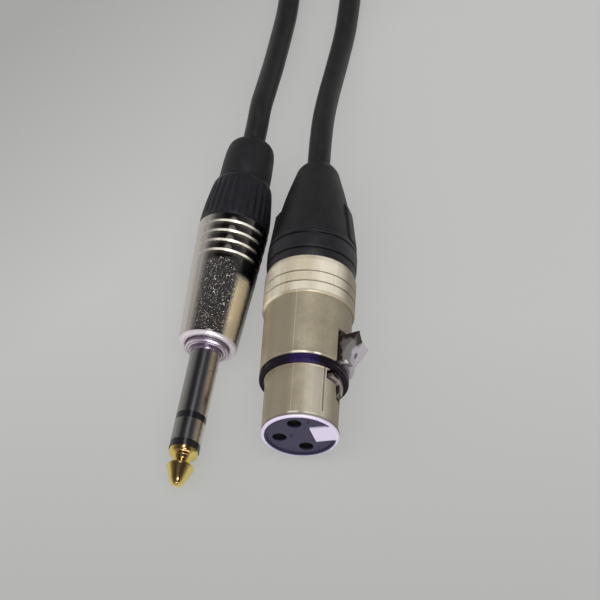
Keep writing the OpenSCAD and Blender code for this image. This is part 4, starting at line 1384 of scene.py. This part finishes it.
@dataclass
class JackPlug:
    """The stereo jack: its gold tip, sparkling barrel, fluted cap and smooth sleeve."""

    maker: Maker
    tip_len: float = 7.9
    tip_r: float = 3.02
    rod_r: float = 0.8
    rod_back: float = 44.4
    barrel_front: float = 32.7
    barrel_back: float = 62.1
    barrel_bore: float = 5.4
    thread_bore: float = 6.65
    mouth_r: float = 4.65
    front_r: float = 6.2
    rear_r: float = 7.65
    grooves: int = 4
    groove_pitch: float = 2.4
    groove_r: float = 0.48
    last_groove: float = 2.2
    cap_back: float = 74.0
    cap_inner_r: float = 5.5
    thread_r: float = 6.6
    flutes: int = 28
    flute_depth: float = 0.34
    flute_start: Pair = (0.7, 1.1)
    flute_end: Pair = (0.7, 2.4)
    length: float = 85.7
    sleeve_r: float = 5.68
    sleeve_bore: float = 4.5
    sleeve_front: float = 68.2
    grip_r: float = 2.55

    def build(self) -> None:
        """Builds all its pieces."""
        self.tip()
        self.barrel()
        self.cap()
        self.sleeve()

    def tip(self) -> None:
        """Builds the gold tip with its long rod inside the plug."""
        corners = [
            (0.0, 0.0, 0.0), (0.95, 0.0, 0.3), (1.5, 0.8, 0.3), (2.86, 4.05, 0.3),
            (2.6, 4.5, 0.25), (1.4, 5.0, 0.3), (1.35, 5.25, 0.15), (1.75, 5.55, 0.25),
            (1.95, 6.1, 0.3), (2.0, 6.4, 0.2), (2.75, 6.8, 0.3), (self.tip_r, 7.2, 0.2),
            (self.tip_r, self.tip_len, 0.0), (self.rod_r, self.tip_len, 0.0),
            (self.rod_r, self.rod_back, 0.0), (0.0, self.rod_back, 0.0),
        ]
        mesh = turned(corners, 72, closed=False)
        self.maker.piece(mesh, "tip_gold_turned", Slot.TIP, JACK_PLACE, ["jack_tip"])

    def groove(self, station: float, radius: float) -> list[Corner]:
        """Lists the outline's corners across one round groove.

        Args:
            station: The groove's middle.
            radius: The barrel's radius there.

        Returns:
            The corners.
        """
        depth, half = self.groove_r * 0.85, self.groove_r
        return [
            (radius, station - half - 0.12, 0.1),
            (radius - depth * 0.75, station - half * 0.55, 0.2),
            (radius - depth, station, 0.2),
            (radius - depth * 0.75, station + half * 0.55, 0.2),
            (radius, station + half + 0.12, 0.1),
        ]

    def barrel(self) -> None:
        """Builds the tapered barrel, with a rounded mouth and grooves round its rear."""
        front, back = self.barrel_front, self.barrel_back
        taper = (self.rear_r - self.front_r) / (back - front)
        corners: list[Corner] = [
            (self.mouth_r, front + 1.0, 0.0), (self.mouth_r, front + 0.25, 0.2),
            (self.mouth_r + 0.25, front, 0.2), (self.front_r - 0.45, front, 0.35),
            (self.front_r, front + 0.55, 0.4), (self.front_r + taper * 1.4, front + 1.4, 0.3),
        ]
        for index in reversed(range(self.grooves)):
            station = back - self.last_groove - self.groove_pitch * index
            corners += self.groove(station, self.rear_r - taper * (back - station))
        corners += [
            (self.rear_r, back, 0.15), (self.thread_bore, back, 0.0),
            (self.thread_bore, back - 8, 0.0), (self.barrel_bore, back - 11, 0.0),
            (self.barrel_bore, front + 1.0, 0.0),
        ]
        mesh = turned(corners, 144, 4)
        self.maker.piece(mesh, "barrel_grooved", Slot.BARREL, JACK_PLACE, ["jack_barrel"])

    def cap(self) -> None:
        """Builds the cap and presses its flutes in."""
        front, back = self.barrel_back, self.cap_back
        corners = [
            (self.cap_inner_r, front - 5.0, 0.0), (self.thread_r, front - 5.0, 0.2),
            (self.thread_r, front + 0.02, 0.0), (7.5, front + 0.02, 0.25),
            (7.62, front + 1.6, 0.8), (7.45, front + 4.4, 1.6), (7.1, front + 7.2, 1.6),
            (6.8, front + 9.4, 1.2), (6.5, back - 0.8, 0.6), (6.15, back, 0.25),
            (4.6, back, 0.0), (4.6, front + 6.0, 0.0), (4.3, front + 4.0, 0.0),
            (self.cap_inner_r, front, 0.0),
        ]
        mesh = turned(corners, self.flutes * 8)
        for vert in mesh.verts:
            radius = math.hypot(vert.co.x, vert.co.y)
            start = (vert.co.z - front - self.flute_start[0]) / self.flute_start[1]
            end = (back - self.flute_end[0] - vert.co.z) / self.flute_end[1]
            share = min(max(start, 0.0), 1.0) * min(max(end, 0.0), 1.0)
            if radius < self.cap_inner_r + 0.05 or share == 0:
                continue
            turn = math.atan2(vert.co.y, vert.co.x) * self.flutes
            press = self.flute_depth * share * (0.5 + 0.5 * math.cos(turn)) ** 1.3
            vert.co.xy *= (radius - press) / radius
        self.maker.piece(mesh, "cap_fluted", Slot.CAP, JACK_PLACE, ["jack_cap"], smooth_angle=50)

    def sleeve(self) -> None:
        """Builds the smooth sleeve, which ends in a rounded shoulder."""
        front, end = self.cap_back - 1.0, self.length
        corners = [
            (self.sleeve_r, front, 0.0), (self.sleeve_r - 0.05, front + 5.0, 2.0),
            (self.sleeve_r - 0.3, end - 3.4, 1.6), (self.sleeve_r - 0.7, end - 1.3, 1.2),
            (self.sleeve_r - 2.0, end - 0.1, 1.2), (self.grip_r + 0.35, end, 0.3),
            (self.grip_r, end, 0.0), (self.grip_r, self.sleeve_front, 0.0),
            (self.sleeve_bore, self.sleeve_front, 0.0), (self.sleeve_bore, front, 0.0),
        ]
        mesh = turned(corners, arc=6)
        self.maker.piece(mesh, "sleeve_smooth", Slot.BOOT, JACK_PLACE, ["jack_boot"])


# ------------------------------------------------------------------ lead, hank and tie


@dataclass
class Lead:
    """The free lead: from the socket connector into a tied hank, and from there to the jack."""

    maker: Maker
    diameter: float = 5.0
    length: float = 1522.0
    centre_x: float = -2.6
    front: float = 137.9
    run: float = 60.0
    inner: float = 15.0
    pitch: float = 5.6
    loops: int = 5
    leave: float = 36.0
    low: float = 3.2
    step: float = 18.0
    tie_width: float = 12.0
    tie_thick: float = 0.6
    tie_bend: float = 2.0
    to_hank: tuple[Point, ...] = (
        (7.6, 35.6, 9.7), (7.6, 40.6, 9.7), (7.7, 45.9, 9.4), (7.9, 50.9, 8.7), (8.3, 55.9, 7.7),
        (8.8, 60.9, 6.5), (9.4, 65.9, 5.3), (10, 70.9, 4.2), (10.6, 75.9, 3.3), (11.2, 80.9, 2.7),
        (11.7, 86.9, 2.5), (12.1, 94.9, 2.5), (12.3, 103.9, 2.5), (12.4, 112.9, 2.5),
        (12.4, 121.9, 2.5), (12.4, 130.9, 3), (12.4, 135.4, 3.2),
    )
    to_jack: tuple[Point, ...] = (
        (-17.797, 123.769, 3.2), (-15.6, 120.8, 3), (-13.2, 117.8, 2.8), (-10.6, 114.8, 2.6),
        (-8, 111.9, 2.5), (-5.6, 108.5, 2.5), (-3.8, 104.8, 2.5), (-2.7, 100.9, 2.5),
        (-2.3, 96.9, 2.5), (-2.4, 91.9, 2.5), (-2.7, 86.9, 2.5), (-3.1, 82.9, 2.9),
        (-3.6, 77.9, 3.7), (-4.1, 72.9, 4.7), (-4.6, 67.9, 5.8), (-5.2, 62.9, 7),
        (-5.8, 57.9, 8.1), (-6.3, 53.9, 8.8), (-6.802, 47.325, 9.05), (-7.359, 42.363, 8.803),
    )

    def hank_point(self, angle: float, along: float) -> Point:
        """Places a point of the hank.

        Args:
            angle: The turning angle in degrees.
            along: The share of the straight run from the near fold to the far fold.

        Returns:
            The point in millimetres.
        """
        top = 180.0 * (self.loops + 1) + 90.0
        floor = 360.0 * self.loops + 180.0
        cross = min(max(angle - top + 90.0, 0.0), 180.0)
        radius = self.inner + self.pitch * (1 - math.cos(math.radians(cross))) / 2
        fall = (floor - min(angle, floor)) / (floor - top)
        rise = angle / 360 if angle < top else top / 360 * fall
        turn = math.radians(angle)
        return (
            self.centre_x + radius * math.cos(turn),
            self.front + along * self.run + radius * math.sin(turn),
            self.low + self.pitch * rise,
        )

    def hank(self) -> list[Point]:
        """Lists the hank's points, which cross each straight run in small and large steps.

        Returns:
            The points in millimetres.
        """
        stops = (0.0, 0.07, 0.5, 0.93, 1.0)
        points: list[Point] = []
        for index in range(round((360 * self.loops + 180 + self.leave) / self.step) + 1):
            angle = index * self.step
            if angle % 180:
                points.append(self.hank_point(angle, float(angle % 360 < 180)))
                continue
            run = stops if angle % 360 == 0 else stops[::-1]
            points += [self.hank_point(angle, along) for along in run]
        return points

    def build(self) -> None:
        """Builds the lead as one smooth curve, and its tie."""
        curve = bpy.data.curves.new("cable_whole", "CURVE")
        curve.dimensions = "3D"
        curve.bevel_depth = self.diameter / 2 * MM
        curve.bevel_resolution = 6
        curve.resolution_u = 5
        curve.use_fill_caps = True
        spline = curve.splines.new("BEZIER")
        route = [*self.to_hank, *self.hank(), *self.to_jack]
        spline.bezier_points.add(len(route) - 1)
        for knot, point in zip(spline.bezier_points, route):
            knot.co = Vector(point) * MM
            knot.handle_left_type = knot.handle_right_type = "AUTO"
        item = linked("cable_whole", curve)
        nodes = ["cable_xlr_run", "cable_coil", "cable_jack_run"]
        self.maker.join(item, Slot.JACKET, nodes, Body.LEAD)
        tie = self.tie()

    def tie(self) -> bpy.types.Object:
        """Builds the hook-and-loop strap round the middle of the hank.

        Returns:
            The strap.
        """
        half = self.diameter / 2 + 0.1
        side = self.inner + self.pitch + half
        low, high = self.low - half, self.low + self.pitch * (self.loops + 1) / 2 + half
        bends = ((-side, high), (-side, low), (side, low), (side, high))
        corners = [(x, z, self.tie_bend) for x, z in bends]
        loop = rounded([(0.0, high, 0.0), *corners, (0.0, high, 0.0)], 6)[:-1]
        near = self.front + self.run / 2 - self.tie_width / 2
        mesh = bmesh.new()
        verts = [mesh.verts.new((self.centre_x + x, near, z)) for x, z in loop]
        edges = [mesh.edges.new(pair) for pair in zip(verts, verts[1:] + verts[:1])]
        made = bmesh.ops.extrude_edge_only(mesh, edges=edges)["geom"]
        new = [part for part in made if isinstance(part, bmesh.types.BMVert)]
        bmesh.ops.translate(mesh, vec=(0, self.tie_width, 0), verts=new)
        bmesh.ops.recalc_face_normals(mesh, faces=mesh.faces)
        bmesh.ops.solidify(mesh, geom=list(mesh.faces), thickness=-self.tie_thick)
        return self.maker.piece(
            mesh, "hank_strap", Slot.TIE, TABLE_PLACE, ["cable_tie"], bevel=0.12, smooth_angle=50
        )


# ------------------------------------------------------------------ studio


class Seen(Enum):
    """What a lamp lights: plain surfaces, reflections in bright ones, or both."""

    BOTH = (True, True)
    PLAIN = (True, False)
    MIRRORED = (False, True)


@dataclass(frozen=True)
class Softbox:
    """A round soft lamp that faces the middle of the object."""

    name: str
    towards: Point
    distance: float
    size: float
    power: float
    colour: Colour = WHITE
    seen: Seen = Seen.BOTH

    def build(self, aim: Vector) -> None:
        """Builds the lamp.

        Args:
            aim: The point that it faces, in metres.
        """
        data = bpy.data.lights.new(self.name, "AREA")
        data.shape = "DISK"
        data.size = self.size
        data.energy = self.power
        data.color = self.colour
        lamp = linked(self.name, data)
        direction = Vector(self.towards).normalized()
        lamp.location = aim + direction * self.distance
        lamp.rotation_euler = direction.to_track_quat("Z", "Y").to_euler()
        lamp.visible_diffuse, lamp.visible_glossy = self.seen.value


@dataclass
class Studio:
    """A plain pale floor, soft lamps and the camera.

    The floor's colour is painted darker, as painted shade, towards its near edge and towards its
    far
    left: each has its two places and its brightness at both.
    """

    aim: Point = (0.0, 10.9, 5.0)
    floor_size: float = 3.0
    floor_colour: Colour = (0.515, 0.522, 0.512)
    floor_glow: float = 0.72
    floor_near: tuple[float, float, Pair] = (-70.0, 5.0, (0.84, 1.0))
    floor_far: tuple[float, float, Pair] = (45.0, 130.0, (1.0, 0.72))
    horizon: Colour = (0.42, 0.42, 0.41)
    overhead: Colour = (0.10, 0.10, 0.11)
    overhead_from: float = 0.75
    camera_at: Point = (21.21, -263.11, 390.95)
    camera_down: float = 55.274
    camera_yaw: float = 3.388
    lens: float = 132.0
    sensor: float = 36.0
    softboxes: tuple[Softbox, ...] = (
        Softbox("lamp_key", (0.0, -0.50, 0.86), 1.3, 2.0, 21.5, (1.0, 0.985, 0.955), Seen.PLAIN),
        Softbox("lamp_left", (-0.88, -0.2, 0.45), 1.3, 1.2, 5.5, (1.0, 0.97, 0.95), Seen.PLAIN),
        Softbox("lamp_front", (0.1, -0.98, 0.14), 1.1, 0.8, 4.6, (0.90, 0.86, 1.0)),
        Softbox("card_window", (0.10, -0.62, 0.78), 1.2, 0.42, 2.6, seen=Seen.MIRRORED),
        Softbox("card_spark", (0.05, 0.22, 0.97), 1.2, 0.46, 1.35, seen=Seen.MIRRORED),
    )

    def build(self) -> None:
        """Builds the stage, the light and the camera."""
        scene = bpy.context.scene
        scene.view_settings.view_transform = "Standard"
        self.floor()
        self.sky()
        for box in self.softboxes:
            box.build(Vector(self.aim) * MM)
        data = bpy.data.cameras.new("camera")
        data.lens = self.lens
        data.sensor_width = self.sensor
        data.clip_start, data.clip_end = 0.01, 20.0
        camera = linked("camera", data)
        camera.location = Vector(self.camera_at) * MM
        camera.rotation_euler = (
            math.radians(90 - self.camera_down), 0.0, math.radians(self.camera_yaw)
        )
        scene.camera = camera

    def floor(self) -> None:
        """Builds the floor: a wide sheet that keeps the object's soft shadow."""
        mesh = bmesh.new()
        bmesh.ops.create_grid(mesh, x_segments=8, y_segments=8, size=self.floor_size)
        data = mesh_data("floor", mesh)
        sheet = NodeSheet("pale_floor")
        # painted shade: the floor darkens towards its near edge and towards its far left
        near = sheet.span(sheet.y, *self.floor_near)
        far = sheet.span(sheet.less(sheet.times(sheet.y, 0.8), sheet.x), *self.floor_far)
        dimmed = sheet.less(1.0, sheet.times(near, far))
        tone = sheet.blend(dimmed, self.floor_colour, BLACK)
        glow = sheet.times(sheet.add("LightPath").outputs["Is Camera Ray"], self.floor_glow)
        base = sheet.blend(glow, tone, BLACK)
        data.materials.append(
            sheet.finish(
                Base_Color=base, Roughness=0.85, Emission_Color=tone, Emission_Strength=glow
            )
        )
        item = linked("floor", data)

    def sky(self) -> None:
        """Builds the light of the room: pale at the horizon and dark overhead."""
        world = bpy.data.worlds.new("room")
        bpy.context.scene.world = world
        world.use_nodes = True
        nodes, links = world.node_tree.nodes, world.node_tree.links
        nodes.clear()
        output, background, coordinates, split, ramp = (
            nodes.new("ShaderNode" + kind)
            for kind in ("OutputWorld", "Background", "TexCoord", "SeparateXYZ", "ValToRGB")
        )
        links.new(coordinates.outputs["Generated"], split.inputs[0])
        links.new(split.outputs["Z"], ramp.inputs["Fac"])
        links.new(ramp.outputs["Color"], background.inputs["Color"])
        links.new(background.outputs["Background"], output.inputs["Surface"])
        low, high = ramp.color_ramp.elements
        low.position, low.color = 0.0, (*self.horizon, 1.0)
        high.position, high.color = self.overhead_from, (*self.overhead, 1.0)


def main() -> None:
    """Builds the studio, the finishes and every piece."""
    logging.basicConfig(level=logging.INFO, format="%(name)s: %(message)s")
    Studio().build()
    finishes = Finishes()
    finishes.dress_frame()
    maker = Maker(finishes)
    Lead(maker).build()
    SocketConnector(maker).build()
    JackPlug(maker).build()
    bpy.context.view_layer.update()
    LOG.info("%d pieces", maker.count)


if __name__ == "__main__":
    main()
